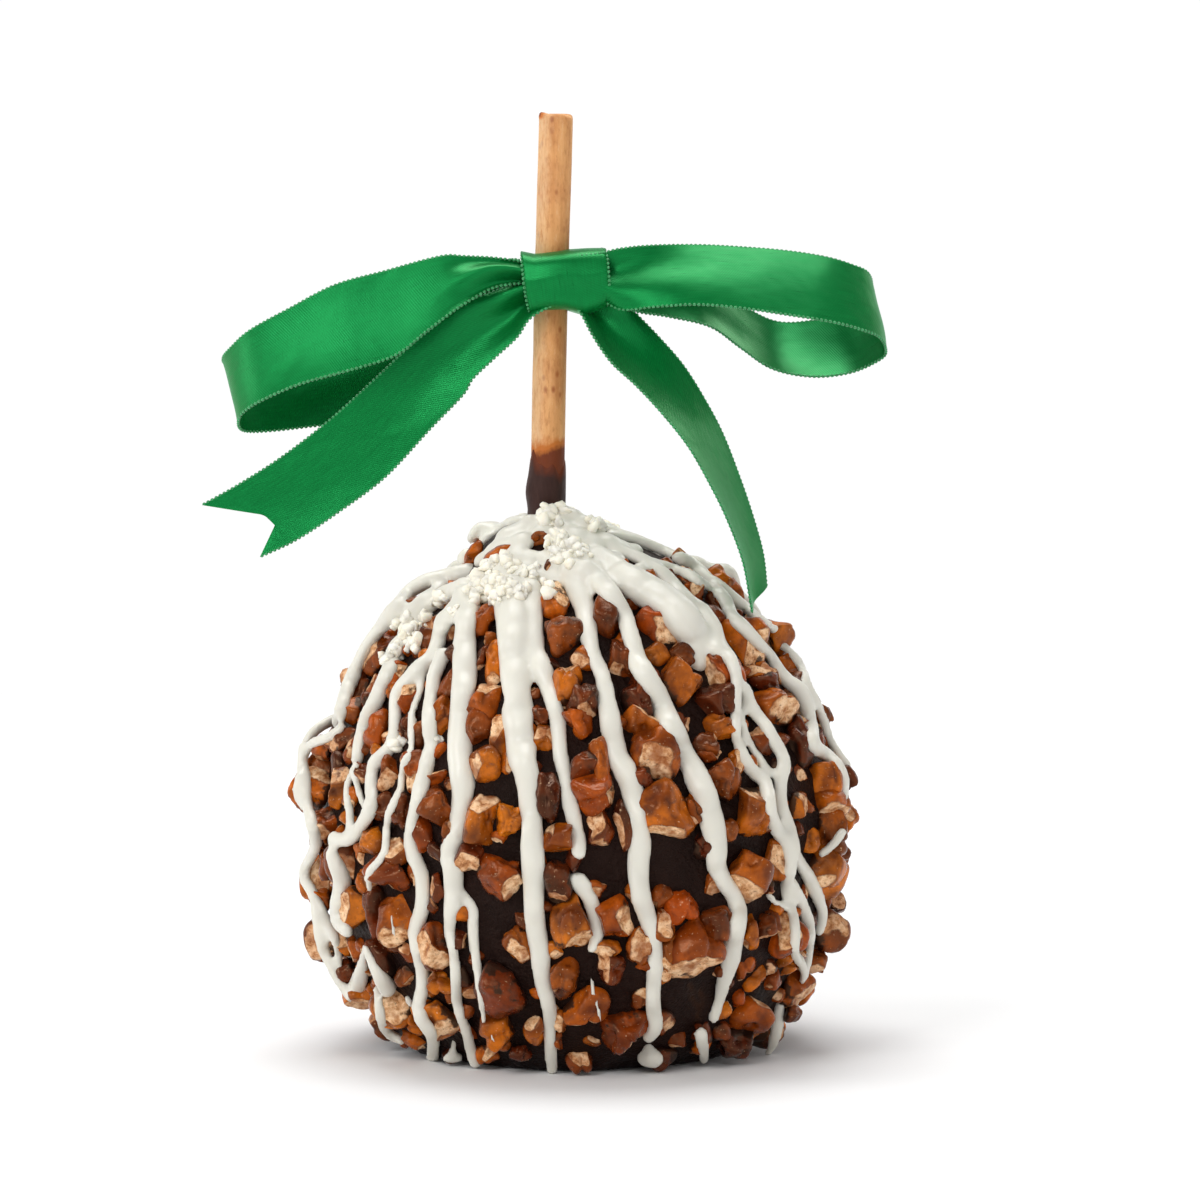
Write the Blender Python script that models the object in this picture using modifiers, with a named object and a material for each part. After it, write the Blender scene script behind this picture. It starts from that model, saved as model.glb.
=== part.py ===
"""Caramel apple on a stick: a whole apple in a thick coat rolled in chopped
pecans, a birch stick pushed into its top, and a satin ribbon tied round the
stick in a bow.

Metres, +Z up.  The origin is the centre of the flat foot that the apple
stands on.  The bow faces -Y, +X is to the right of someone looking at it.
"""

import math
import random

import bmesh
import bpy
from mathutils import Matrix, Vector

MM = 0.001

# ---------------------------------------------------------------- sizes (mm)
GAP = 0.3                      # clearance between pieces that touch

# coated fruit: (height, radius) of the outside, nuts included, foot to crown
BODY_OUTLINE = (
    (0.0, 34.5), (4.0, 38.8), (9.0, 43.0), (18.0, 47.6), (28.0, 49.6),
    (37.0, 50.6), (46.0, 51.6), (56.0, 49.6), (65.0, 45.6), (74.0, 40.4),
    (83.0, 34.0), (88.5, 27.0), (91.0, 23.5), (95.5, 13.5), (98.5, 6.5),
    (99.0, 0.0),
)
BODY_CENTRE_Z = 46.0           # rays of the outline start here
BODY_DETAIL = 5                # icosphere subdivisions
CROWN_SHIFT = -5.2             # the crown leans to where the stick goes in
CROWN_FROM = 88.0              # height where that lean begins
NUT_LUMPS = 150                # lumps of the nut coat
NUT_LUMP_SPREAD = (5.0, 8.5)   # half width of a lump, degrees at the centre
NUT_LUMP_HEIGHT = (0.8, 3.0)
NUT_TOP, NUT_BOTTOM = 30.0, 138.0   # polar angles that the nuts reach
NUT_SEED = 11

# stick: a quarter-inch dowel, five and a half inches long
STICK_D = 6.3
STICK_LENGTH = 139.7
STICK_TOP = (-4.25, 0.0, 175.1)
STICK_LEAN = 1.22              # degrees from upright, its top to the right
STICK_EDGE = 0.6               # rounding of its ends
STICK_SIDES = 28

# ribbon: five-eighths of an inch wide
RIBBON_T = 0.8
KNOT_CENTRE = (-2.75, -1.75, 143.8)
KNOT_TOP_W, KNOT_LOW_W = 16.4, 13.4
KNOT_H, KNOT_D = 11.4, 12.6
KNOT_EDGE = 2.4

# the ribbon's two long edges, upper then lower, along each of its parts
LEFT_LOOP = (
    ((-8, -5, 147.5), (-8, -6, 143)), ((-15, -5, 148.5), (-15, -7, 143)),
    ((-24, -5, 148.5), (-23, -9.5, 138.5)), ((-36, -5, 146), (-34, -11, 131)),
    ((-48, -5, 142), (-46, -11, 127)), ((-59, -3, 136), (-57, -9.5, 122.5)),
    ((-66, 1, 130.5), (-63, -6, 119)), ((-66.5, 7, 128), (-63.5, 0, 116)),
    ((-59, 12, 128), (-59, 5, 115.5)), ((-43, 12, 132.5), (-43, 7, 117.5)),
    ((-26, 7, 141), (-26, 4, 127.5)), ((-14, 1.5, 147), (-14, 0, 139)),
    ((-7, -1.5, 147.5), (-7, -2, 142)),
)
RIGHT_LOOP = (
    ((1, -4.5, 148), (1, -6, 140.5)), ((9, -4, 150), (9, -8, 139.5)),
    ((23, -0.5, 150.5), (23, -11, 140)), ((39, 1, 149.5), (39, -10.5, 138)),
    ((50, 2, 147), (51, -7.5, 135.5)), ((55, 7, 143.5), (57, 1, 131)),
    ((53, 14, 139), (54.5, 6.5, 127)), ((44, 18.5, 136), (44, 8, 125.5)),
    ((33, 17, 138), (33, 6, 129)), ((23, 10, 144), (24, 2, 135)),
    ((11, 1.5, 148), (11, -2.5, 138)), ((1, -2, 148), (1, -3, 140.5)),
)
LEFT_TAIL = (
    ((-7, -3.5, 143.5), (-5, -3.5, 139.5)), ((-14, -3.5, 142), (-9, -4.5, 137)),
    ((-24.5, -3.5, 137.5), (-16, -5, 129)), ((-38, -4, 126), (-28, -6, 116)),
    ((-55, -6, 111.5), (-45, -8, 101)), ((-70, -8, 102.5), (-59.5, -10, 93)),
)
RIGHT_TAIL = (
    ((-2.5, -4.5, 141.5), (4, -3, 142.5)), ((0.5, -6, 137), (9, -2, 139)),
    ((6, -10, 129), (14.5, -1, 133.5)), ((15.5, -14, 120), (23, -1, 122.5)),
    ((24, -18, 107), (29.5, -3, 108)), ((30.5, -20, 92.5), (34, -6, 92.5)),
    ((32, -20.5, 84), (35, -9, 87.5)),
)
LOOP_STEPS, TAIL_STEPS = 34, 16
TAIL_NOTCH = 8.0               # depth of the left tail's swallow-tail cut


# ------------------------------------------------------------------- helpers
def clear_scene():
    for ob in list(bpy.data.objects):
        bpy.data.objects.remove(ob, do_unlink=True)


def collection(name):
    c = bpy.data.collections.new(name)
    bpy.context.scene.collection.children.link(c)
    return c


def material(name, colour, roughness, metallic=0.0):
    m = bpy.data.materials.new(name)
    m.use_nodes = True
    b = m.node_tree.nodes["Principled BSDF"]
    b.inputs["Base Color"].default_value = (*colour, 1.0)
    b.inputs["Roughness"].default_value = roughness
    b.inputs["Metallic"].default_value = metallic
    m.diffuse_color = (*colour, 1.0)
    return m


def add_object(name, bm, where, mat=None, guide=False):
    me = bpy.data.meshes.new(name)
    bm.to_mesh(me)
    bm.free()
    ob = bpy.data.objects.new(name, me)
    where.objects.link(ob)
    if mat:
        me.materials.append(mat)
    if guide:
        ob.hide_render = True
        ob.display_type = "WIRE"
    return ob


def boolean(ob, other, operation):
    m = ob.modifiers.new(other.name, "BOOLEAN")
    m.operation = operation
    m.object = other
    m.solver = "EXACT"


def between(table, x):
    """The second number of a table at x of its first, straight between rows."""
    for (x0, y0), (x1, y1) in zip(table, table[1:]):
        if x <= x1:
            return y0 + (y1 - y0) * (x - x0) / (x1 - x0)
    return table[-1][1]


def smooth(a, b, x):
    t = min(1.0, max(0.0, (x - a) / (b - a)))
    return t * t * (3.0 - 2.0 * t)


def curve_point(points, t):
    """A point of the smooth curve through the points, t from 0 to 1."""
    n = len(points) - 1
    i = min(n - 1, int(t * n))
    f = t * n - i
    p1, p2 = Vector(points[i]), Vector(points[i + 1])
    p0 = Vector(points[i - 1]) if i > 0 else p1 * 2 - p2
    p3 = Vector(points[i + 2]) if i < n - 1 else p2 * 2 - p1
    return 0.5 * (
        p1 * 2 + (p2 - p0) * f + (p0 * 2 - p1 * 5 + p2 * 4 - p3) * f * f
        + (p1 * 3 - p0 - p2 * 3 + p3) * f * f * f
    )


# ----------------------------------------------------------------- the stick
def stick_frame():
    """The stick's axes: its middle line is local Z, its top is the origin."""
    lean = math.radians(STICK_LEAN)
    return Matrix.Translation(Vector(STICK_TOP) * MM) @ Matrix.Rotation(lean, 4, "Y")


def make_stick(where, mat):
    bm = bmesh.new()
    bmesh.ops.create_cone(
        bm, cap_ends=True, segments=STICK_SIDES,
        radius1=STICK_D / 2 * MM, radius2=STICK_D / 2 * MM, depth=STICK_LENGTH * MM,
    )
    bmesh.ops.translate(bm, verts=bm.verts, vec=(0, 0, -STICK_LENGTH / 2 * MM))
    ob = add_object("stick", bm, where, mat)
    ob.matrix_world = stick_frame()
    b = ob.modifiers.new("rounded ends", "BEVEL")
    b.width = STICK_EDGE * MM
    b.segments = 2
    b.limit_method = "ANGLE"
    b.angle_limit = math.radians(50)
    ob.data.shade_smooth()
    ob.data.set_sharp_from_angle(angle=math.radians(40))
    return ob


def stick_clearance(name, low, high, where):
    """A cutter round the stick, from low to high along it, measured from its top."""
    bm = bmesh.new()
    r = (STICK_D / 2 + GAP) * MM
    bmesh.ops.create_cone(
        bm, cap_ends=True, segments=STICK_SIDES, radius1=r, radius2=r,
        depth=(high - low) * MM,
    )
    bmesh.ops.translate(bm, verts=bm.verts, vec=(0, 0, (low + high) / 2 * MM))
    ob = add_object(name, bm, where, guide=True)
    ob.matrix_world = stick_frame()
    return ob


# ---------------------------------------------------------- the coated apple
def ray_table():
    """(polar angle, distance) from the outline's centre, crown to foot."""
    rows = []
    for z, r in reversed(BODY_OUTLINE):
        rows.append((math.degrees(math.atan2(r, z - BODY_CENTRE_Z)),
                     math.hypot(r, z - BODY_CENTRE_Z)))
    return rows


def nut_lumps():
    """Lumps spread evenly round the fruit: (direction, half width, height)."""
    rng = random.Random(NUT_SEED)
    lumps, turn = [], math.pi * (3.0 - math.sqrt(5.0))
    c0, c1 = math.cos(math.radians(NUT_TOP)), math.cos(math.radians(NUT_BOTTOM))
    for i in range(NUT_LUMPS):
        c = c0 + (c1 - c0) * (i + rng.random()) / NUT_LUMPS
        a = i * turn + rng.uniform(-0.3, 0.3)
        s = math.sqrt(1.0 - c * c)
        lumps.append((
            Vector((s * math.cos(a), s * math.sin(a), c)),
            math.radians(rng.uniform(*NUT_LUMP_SPREAD)),
            rng.uniform(*NUT_LUMP_HEIGHT),
        ))
    return lumps


def make_body(where, cutters, mat):
    rays, lumps = ray_table(), nut_lumps()
    bm = bmesh.new()
    bmesh.ops.create_icosphere(bm, subdivisions=BODY_DETAIL, radius=1.0)
    for v in bm.verts:
        d = v.co.normalized()
        polar = math.degrees(math.acos(max(-1.0, min(1.0, d.z))))
        if polar >= rays[-1][0]:
            reach = BODY_CENTRE_Z / -d.z          # the flat foot
        else:
            reach = between(rays, polar)
            lift = 0.0
            for axis, half, height in lumps:
                away = d.angle(axis)
                if away < half:
                    lift = max(lift, height * (1.0 - (away / half) ** 2))
            # the outline already holds the nuts, so the coat dips between them
            fade = smooth(NUT_TOP - 12.0, NUT_TOP, polar)
            reach += (lift - 1.6) * fade
        p = Vector((d.x * reach, d.y * reach, BODY_CENTRE_Z + d.z * reach))
        if p.z < 0.0 or polar >= rays[-1][0]:
            reach = BODY_CENTRE_Z / -d.z
            p = Vector((d.x * reach, d.y * reach, 0.0))
        p.x += CROWN_SHIFT * smooth(CROWN_FROM, BODY_OUTLINE[-1][0], p.z)
        v.co = p * MM
    ob = add_object("coated_apple", bm, where, mat)
    bore = stick_clearance("stick hole", -STICK_LENGTH - GAP, -60.0, cutters)
    boolean(ob, bore, "DIFFERENCE")
    return ob


# ---------------------------------------------------------------- the ribbon
def strip(name, edges, steps, cutters, notch=0.0):
    """A length of ribbon lofted between its two edges and given its thickness."""
    upper, lower = [e[0] for e in edges], [e[1] for e in edges]
    bm = bmesh.new()
    rows = []
    for i in range(steps + 1):
        a, b = curve_point(upper, i / steps), curve_point(lower, i / steps)
        rows.append([a, (a + b) / 2, b])
    if notch:
        back = (rows[-2][1] - rows[-1][1]).normalized()
        rows[-1][1] = rows[-1][1] + back * min(notch, 0.8 * (rows[-2][1] - rows[-1][1]).length)
    grid = [[bm.verts.new(p * MM) for p in row] for row in rows]
    for r0, r1 in zip(grid, grid[1:]):
        for k in range(2):
            bm.faces.new((r0[k], r0[k + 1], r1[k + 1], r1[k]))
    bmesh.ops.recalc_face_normals(bm, faces=bm.faces)
    ob = add_object(name, bm, cutters, guide=True)
    s = ob.modifiers.new("thickness", "SOLIDIFY")
    s.thickness = RIBBON_T * MM
    s.offset = 0.0
    s.use_even_offset = False
    return ob


def make_ribbon(where, cutters, mat):
    bm = bmesh.new()
    bmesh.ops.create_cube(bm, size=1.0)
    for v in bm.verts:
        w = KNOT_TOP_W if v.co.z > 0 else KNOT_LOW_W
        v.co = Vector((v.co.x * w, v.co.y * KNOT_D, v.co.z * KNOT_H)) * MM
    bmesh.ops.bevel(
        bm, geom=list(bm.edges), offset=KNOT_EDGE * MM, segments=3, profile=0.5,
        affect="EDGES",
    )
    ob = add_object("ribbon_bow", bm, where, mat)
    ob.location = Vector(KNOT_CENTRE) * MM
    for piece in (
        strip("left loop", LEFT_LOOP, LOOP_STEPS, cutters),
        strip("right loop", RIGHT_LOOP, LOOP_STEPS, cutters),
        strip("left tail", LEFT_TAIL, TAIL_STEPS, cutters, TAIL_NOTCH),
        strip("right tail", RIGHT_TAIL, TAIL_STEPS, cutters),
    ):
        boolean(ob, piece, "UNION")
    boolean(ob, stick_clearance("stick through bow", -60.0, -12.0, cutters), "DIFFERENCE")
    return ob


def main():
    clear_scene()
    parts, cutters = collection("caramel apple"), collection("cutters")
    coat = material("coat", (0.16, 0.055, 0.018), 0.45)
    wood = material("birch", (0.66, 0.40, 0.20), 0.6)
    satin = material("satin", (0.01, 0.26, 0.055), 0.35)
    make_body(parts, cutters, coat)
    make_stick(parts, wood)
    make_ribbon(parts, cutters, satin)


main()
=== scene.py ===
import math
import random

import bmesh
import bpy
import numpy as np
from mathutils import Matrix, Vector
from mathutils.bvhtree import BVHTree


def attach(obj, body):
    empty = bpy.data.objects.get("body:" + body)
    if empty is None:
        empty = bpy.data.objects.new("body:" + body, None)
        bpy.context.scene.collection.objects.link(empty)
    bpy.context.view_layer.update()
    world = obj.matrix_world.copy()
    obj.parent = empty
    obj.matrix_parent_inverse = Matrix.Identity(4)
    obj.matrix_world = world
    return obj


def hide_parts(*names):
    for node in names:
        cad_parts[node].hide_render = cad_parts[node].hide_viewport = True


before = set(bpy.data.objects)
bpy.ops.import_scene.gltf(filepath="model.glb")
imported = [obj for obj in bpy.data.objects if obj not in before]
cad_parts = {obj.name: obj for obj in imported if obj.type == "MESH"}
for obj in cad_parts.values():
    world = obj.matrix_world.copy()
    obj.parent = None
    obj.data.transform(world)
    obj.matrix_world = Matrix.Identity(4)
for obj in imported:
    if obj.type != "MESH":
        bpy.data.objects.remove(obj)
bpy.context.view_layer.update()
MM = 0.001
UNIT = 0.1875 * MM            # the front layout below is drawn on this grid

# ------------------------------------------------------------------- camera
DIST, ELEV = 1.30, math.radians(5.5)
TARGET = Vector((0.0039, 0.0, 0.0841))
FWD = Vector((0, math.cos(ELEV), -math.sin(ELEV)))
UP = Vector((0, math.sin(ELEV), math.cos(ELEV)))
RIGHT = Vector((1, 0, 0))
EYE = TARGET - FWD * DIST

cam_data = bpy.data.cameras.new("camera")
cam_data.sensor_width = 36.0
cam_data.lens = 36.0 * DIST / 0.225
cam_data.clip_start, cam_data.clip_end = 0.05, 20.0
cam = bpy.data.objects.new("camera", cam_data)
bpy.context.scene.collection.objects.link(cam)
cam.matrix_world = Matrix.Translation(EYE) @ Matrix((RIGHT, UP, -FWD)).transposed().to_4x4()
bpy.context.scene.camera = cam


def ray(u, v):
    """The sight line through a point of the front layout."""
    d = FWD * DIST + RIGHT * ((u - 600) * UNIT) + UP * ((600 - v) * UNIT)
    return EYE, d.normalized()


def at_depth(u, v, y):
    """The point of the front layout's sight line at depth y (metres)."""
    o, d = ray(u, v)
    return o + d * ((y - o.y) / d.y)


# ------------------------------------------------------------ small helpers
def vnoise(p, scale, seed=0):
    """Smooth noise from -1 to 1 at points p (n, 3), with features of a size."""
    q = np.asarray(p, float) / scale + seed * 17.31 + 1000.0
    i = np.floor(q).astype(np.int64)
    f = q - i
    f = f * f * f * (f * (f * 6 - 15) + 10)
    out = np.zeros(len(q))
    for dx in (0, 1):
        for dy in (0, 1):
            for dz in (0, 1):
                h = ((i[:, 0] + dx) * 73856093) ^ ((i[:, 1] + dy) * 19349663) ^ ((i[:, 2] + dz) * 83492791)
                h = (h ^ (seed * 2654435761)) & 0xFFFFFFFF
                h = ((h ^ (h >> 15)) * 2246822519) & 0xFFFFFFFF
                h = ((h ^ (h >> 13)) * 3266489917) & 0xFFFFFFFF
                h = (h ^ (h >> 16)) & 0xFFFFFF
                w = (f[:, 0] if dx else 1 - f[:, 0]) * (f[:, 1] if dy else 1 - f[:, 1]) * (f[:, 2] if dz else 1 - f[:, 2])
                out += w * (h / 8388607.5 - 1.0)
    return out


def fbm(p, scale, octaves=3, seed=0):
    out, amp = 0.0, 1.0
    for k in range(octaves):
        out = out + amp * vnoise(p, scale / 2 ** k, seed + k)
        amp *= 0.5
    return out / 1.75


def ico(level):
    bm = bmesh.new()
    bmesh.ops.create_icosphere(bm, subdivisions=level, radius=1.0)
    bm.verts.ensure_lookup_table()
    v = np.array([x.co[:] for x in bm.verts])
    f = np.array([[x.index for x in g.verts] for g in bm.faces])
    bm.free()
    return v / np.linalg.norm(v, axis=1)[:, None], f


def make(name, v, f, mat, attrs=None, smooth=True, uv=None):
    me = bpy.data.meshes.new(name)
    v = np.array(v, float)
    v[:, 2] = np.maximum(v[:, 2], 0.0001)
    me.from_pydata(v, [], np.asarray(f).tolist() if isinstance(f, np.ndarray) else f)
    me.update()
    for key, val in (attrs or {}).items():
        a = me.attributes.new(key, "FLOAT", "POINT")
        a.data.foreach_set("value", np.asarray(val, np.float32))
    if uv is not None:
        layer = me.uv_layers.new(name="cloth")
        idx = np.empty(len(me.loops), np.int32)
        me.loops.foreach_get("vertex_index", idx)
        layer.data.foreach_set("uv", np.asarray(uv, np.float32)[idx].ravel())
    if smooth:
        me.shade_smooth()
    ob = bpy.data.objects.new(name, me)
    bpy.context.scene.collection.objects.link(ob)
    ob.data.materials.append(mat)
    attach(ob, "root")
    return ob


def remesh(v, f, voxel, smooth=4, factor=0.5):
    """Unite overlapping closed shapes into one skin, and smooth it."""
    me = bpy.data.meshes.new("tmp")
    me.from_pydata(v, [], f if isinstance(f, list) else f.tolist())
    ob = bpy.data.objects.new("tmp", me)
    bpy.context.scene.collection.objects.link(ob)
    m = ob.modifiers.new("r", "REMESH")
    m.mode = "VOXEL"
    m.voxel_size = voxel
    m.adaptivity = 0.0
    if smooth:
        s = ob.modifiers.new("s", "SMOOTH")
        s.iterations = smooth
        s.factor = factor
    dg = bpy.context.evaluated_depsgraph_get()
    ev = ob.evaluated_get(dg).to_mesh()
    n = len(ev.vertices)
    co = np.empty(n * 3, np.float32)
    ev.vertices.foreach_get("co", co)
    faces = [list(p.vertices) for p in ev.polygons]
    ob.evaluated_get(dg).to_mesh_clear()
    bpy.data.objects.remove(ob)
    bpy.data.meshes.remove(me)
    return co.reshape(-1, 3).astype(float), faces


class Heap:
    """Collects shapes with their attributes, to be one mesh."""

    def __init__(self):
        self.v, self.f, self.a, self.n = [], [], [], 0

    def add(self, v, f, **a):
        self.v.append(v)
        self.f.append(f + self.n)
        self.a.append({k: np.broadcast_to(np.asarray(x, float), (len(v),)) for k, x in a.items()})
        self.n += len(v)

    def done(self):
        v, f = np.concatenate(self.v), np.concatenate(self.f)
        return v, f, {k: np.concatenate([a[k] for a in self.a]) for k in self.a[0]}


def tree(v, f):
    return BVHTree.FromPolygons([tuple(x) for x in v], [tuple(x) for x in f])


# ---------------------------------------------------------------- materials
class Nodes:
    def __init__(self, name):
        self.mat = bpy.data.materials.new(name)
        self.mat.use_nodes = True
        self.t = self.mat.node_tree
        self.b = self.t.nodes["Principled BSDF"]

    def new(self, kind, **props):
        n = self.t.nodes.new(kind)
        for k, x in props.items():
            setattr(n, k, x)
        return n

    def link(self, a, b):
        self.t.links.new(a, b)

    def attr(self, name):
        return self.new("ShaderNodeAttribute", attribute_name=name).outputs["Fac"]

    def coord(self, kind="Object"):
        return self.new("ShaderNodeTexCoord").outputs[kind]

    def noise(self, scale, detail=3.0, rough=0.55, vec=None, dist=0.0):
        n = self.new("ShaderNodeTexNoise")
        n.inputs["Scale"].default_value = scale
        n.inputs["Detail"].default_value = detail
        n.inputs["Roughness"].default_value = rough
        n.inputs["Distortion"].default_value = dist
        self.link(vec or self.coord(), n.inputs["Vector"])
        return n.outputs["Fac"]

    def scaled(self, x, y, z, vec=None):
        m = self.new("ShaderNodeMapping")
        m.inputs["Scale"].default_value = (x, y, z)
        self.link(vec or self.coord(), m.inputs["Vector"])
        return m.outputs["Vector"]

    def ramp(self, fac, stops, mode="LINEAR"):
        r = self.new("ShaderNodeValToRGB")
        e = r.color_ramp.elements
        r.color_ramp.interpolation = mode
        while len(e) < len(stops):
            e.new(0.5)
        for i, (pos, c) in enumerate(stops):
            e[i].position = pos
            e[i].color = (*c, 1.0) if hasattr(c, "__len__") else (c, c, c, 1.0)
        self.link(fac, r.inputs["Fac"])
        return r.outputs["Color"]

    def math(self, op, a, b=None, c=None, clamp=False):
        m = self.new("ShaderNodeMath", operation=op, use_clamp=clamp)
        for i, x in enumerate((a, b, c)):
            if x is None:
                continue
            if isinstance(x, (int, float)):
                m.inputs[i].default_value = x
            else:
                self.link(x, m.inputs[i])
        return m.outputs[0]

    def mix(self, fac, a, b, blend="MIX"):
        m = self.new("ShaderNodeMix", data_type="RGBA", blend_type=blend)
        for sock, x in ((m.inputs[0], fac), (m.inputs[6], a), (m.inputs[7], b)):
            if isinstance(x, (int, float)):
                sock.default_value = x
            elif isinstance(x, tuple):
                sock.default_value = (*x, 1.0)
            else:
                self.link(x, sock)
        return m.outputs[2]

    def bump(self, height, strength, distance, normal=None):
        n = self.new("ShaderNodeBump")
        n.inputs["Strength"].default_value = strength
        n.inputs["Distance"].default_value = distance
        self.link(height, n.inputs["Height"])
        if normal:
            self.link(normal, n.inputs["Normal"])
        return n.outputs["Normal"]

    def set(self, **vals):
        for k, x in vals.items():
            s = self.b.inputs[k.replace("_", " ")]
            if isinstance(x, (int, float)):
                s.default_value = x
            elif isinstance(x, tuple):
                s.default_value = (*x, 1.0) if len(x) == 3 and s.type == "RGBA" else x
            else:
                self.link(x, s)
        return self.mat


def chocolate():
    n = Nodes("dark_chocolate")
    big = n.noise(60, 3)
    fine = n.noise(900, 4, 0.6)
    col = n.ramp(big, [(0.3, (0.0042, 0.0017, 0.0014)), (0.7, (0.0140, 0.0056, 0.0043))])
    # paler bloom in random patches over the chocolate
    bloom_and_painted_light = n.ramp(n.noise(240, 5, 0.7), [(0.55, 0.0), (0.8, 1.0)])
    col = n.mix(n.math("MULTIPLY", bloom_and_painted_light, 0.22), col, (0.040, 0.021, 0.016))
    crack = n.attr("crack")
    col = n.mix(crack, col, (0.030, 0.012, 0.006))
    h = n.math("ADD", n.math("MULTIPLY", fine, 0.35), big)
    return n.set(
        Base_Color=col,
        Roughness=n.ramp(n.noise(180, 3), [(0.3, 0.30), (0.75, 0.50)]),
        Normal=n.bump(h, 1.0, 0.0022),
        Specular_IOR_Level=0.11, Specular_Tint=(1.0, 0.72, 0.60),
    )


def pecan():
    n = Nodes("chopped_pecan")
    skin, tone, red, coat = n.attr("skin"), n.attr("tone"), n.attr("red"), n.attr("coat")
    streak = n.attr("streak")
    wide = n.noise(230, 3, 0.6)
    mott = n.noise(520, 5, 0.68)
    fleck = n.noise(1900, 3, 0.6)
    # skin: orange to deep red brown in patches, darker along grooves and edges
    light = n.mix(tone, (0.385, 0.056, 0.0022), (0.700, 0.188, 0.0085))
    dark = n.mix(tone, (0.066, 0.0098, 0.0026), (0.175, 0.0255, 0.0040))
    body = n.mix(red, light, dark)
    deep = n.mix(red, (0.092, 0.0125, 0.0028), (0.020, 0.0050, 0.0030))
    body = n.mix(n.ramp(n.noise(125, 2, 0.5), [(0.44, 0.0), (0.66, 0.80)]), body, deep)
    body = n.mix(n.ramp(wide, [(0.46, 0.0), (0.72, 0.80)]), body, deep)
    body = n.mix(n.ramp(mott, [(0.52, 0.0), (0.76, 0.75)]), body, deep)
    body = n.mix(n.math("MULTIPLY", streak, 0.95, clamp=True), body, n.mix(red, (0.070, 0.0150, 0.0060), (0.022, 0.0075, 0.0050)))
    body = n.mix(n.ramp(fleck, [(0.66, 0.0), (0.72, 0.55)]), body, (0.70, 0.48, 0.28))
    # broken faces: pinkish beige, mottled with tan and red brown
    meat = n.ramp(mott, [(0.34, (0.250, 0.080, 0.026)), (0.44, (0.600, 0.300, 0.130)), (0.58, (0.900, 0.620, 0.375))])
    meat = n.mix(n.ramp(wide, [(0.50, 0.0), (0.64, 0.80)]), meat, (0.290, 0.082, 0.022))
    meat = n.mix(n.ramp(fleck, [(0.58, 0.0), (0.68, 0.65)]), meat, (0.190, 0.056, 0.018))
    meat = n.mix(n.math("MULTIPLY", red, 0.6), meat, n.mix(1.0, meat, (0.60, 0.45, 0.40), "MULTIPLY"))
    ragged = n.math("ADD", skin, n.math("MULTIPLY", n.math("SUBTRACT", mott, 0.5), 1.1))
    ragged = n.math("ADD", ragged, n.math("MULTIPLY", n.math("SUBTRACT", wide, 0.56), 1.1))
    col = n.mix(n.ramp(ragged, [(0.42, 0.0), (0.58, 1.0)]), meat, body)
    rim = n.math("MULTIPLY", n.ramp(ragged, [(0.34, 0.0), (0.5, 1.0), (0.74, 0.0)]), 0.60)
    col = n.mix(rim, col, (0.075, 0.0190, 0.0080))
    # chocolate smear on the pieces' lower sides, also darkened and widened as painted shade where they meet the coat
    smear_and_painted_shade = n.ramp(n.math("ADD", coat, n.math("MULTIPLY", n.math("SUBTRACT", n.noise(340, 4, 0.62), 0.5), 1.6)), [(0.46, 0.0), (0.58, 1.0)])
    col = n.mix(n.math("MULTIPLY", smear_and_painted_shade, 0.93), col, (0.0100, 0.0043, 0.0033))
    rough = n.mix(n.ramp(ragged, [(0.4, 0.0), (0.6, 1.0)]), (0.52, 0.52, 0.52), (0.23, 0.23, 0.23))
    rough = n.mix(smear_and_painted_shade, rough, (0.40, 0.40, 0.40))
    h = n.math("ADD", mott, n.math("MULTIPLY", fleck, 0.5))
    return n.set(
        Base_Color=col, Roughness=rough, Normal=n.bump(h, 0.32, 0.0003),
        Specular_IOR_Level=0.42, Specular_Tint=(1.0, 0.60, 0.36),
    )


def white_chocolate(name="white_chocolate", tint=(0.700, 0.678, 0.598)):
    n = Nodes(name)
    a = n.noise(90, 3)
    col = n.ramp(a, [(0.3, tuple(0.95 * c for c in tint)), (0.7, tint)])
    h = n.math("ADD", n.noise(260, 3), n.math("MULTIPLY", n.noise(1400, 2), 0.15))
    return n.set(
        Base_Color=col, Roughness=n.ramp(n.noise(300, 2), [(0.3, 0.30), (0.7, 0.42)]),
        Normal=n.bump(h, 0.18, 0.0004), Subsurface_Weight=0.12,
        Subsurface_Radius=(0.0022, 0.0018, 0.0012), Subsurface_Scale=0.6, Specular_IOR_Level=0.5,
    )


def crystal():
    n = Nodes("cream_flakes")
    col = n.ramp(n.noise(500, 3), [(0.3, (0.84, 0.78, 0.64)), (0.7, (0.91, 0.87, 0.76))])
    return n.set(
        Base_Color=col, Roughness=n.ramp(n.noise(900, 2), [(0.3, 0.35), (0.7, 0.55)]),
        Subsurface_Weight=0.30, Subsurface_Radius=(0.0024, 0.0020, 0.0014), Subsurface_Scale=0.6,
        Normal=n.bump(n.noise(1500, 3), 0.3, 0.0002),
    )


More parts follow.
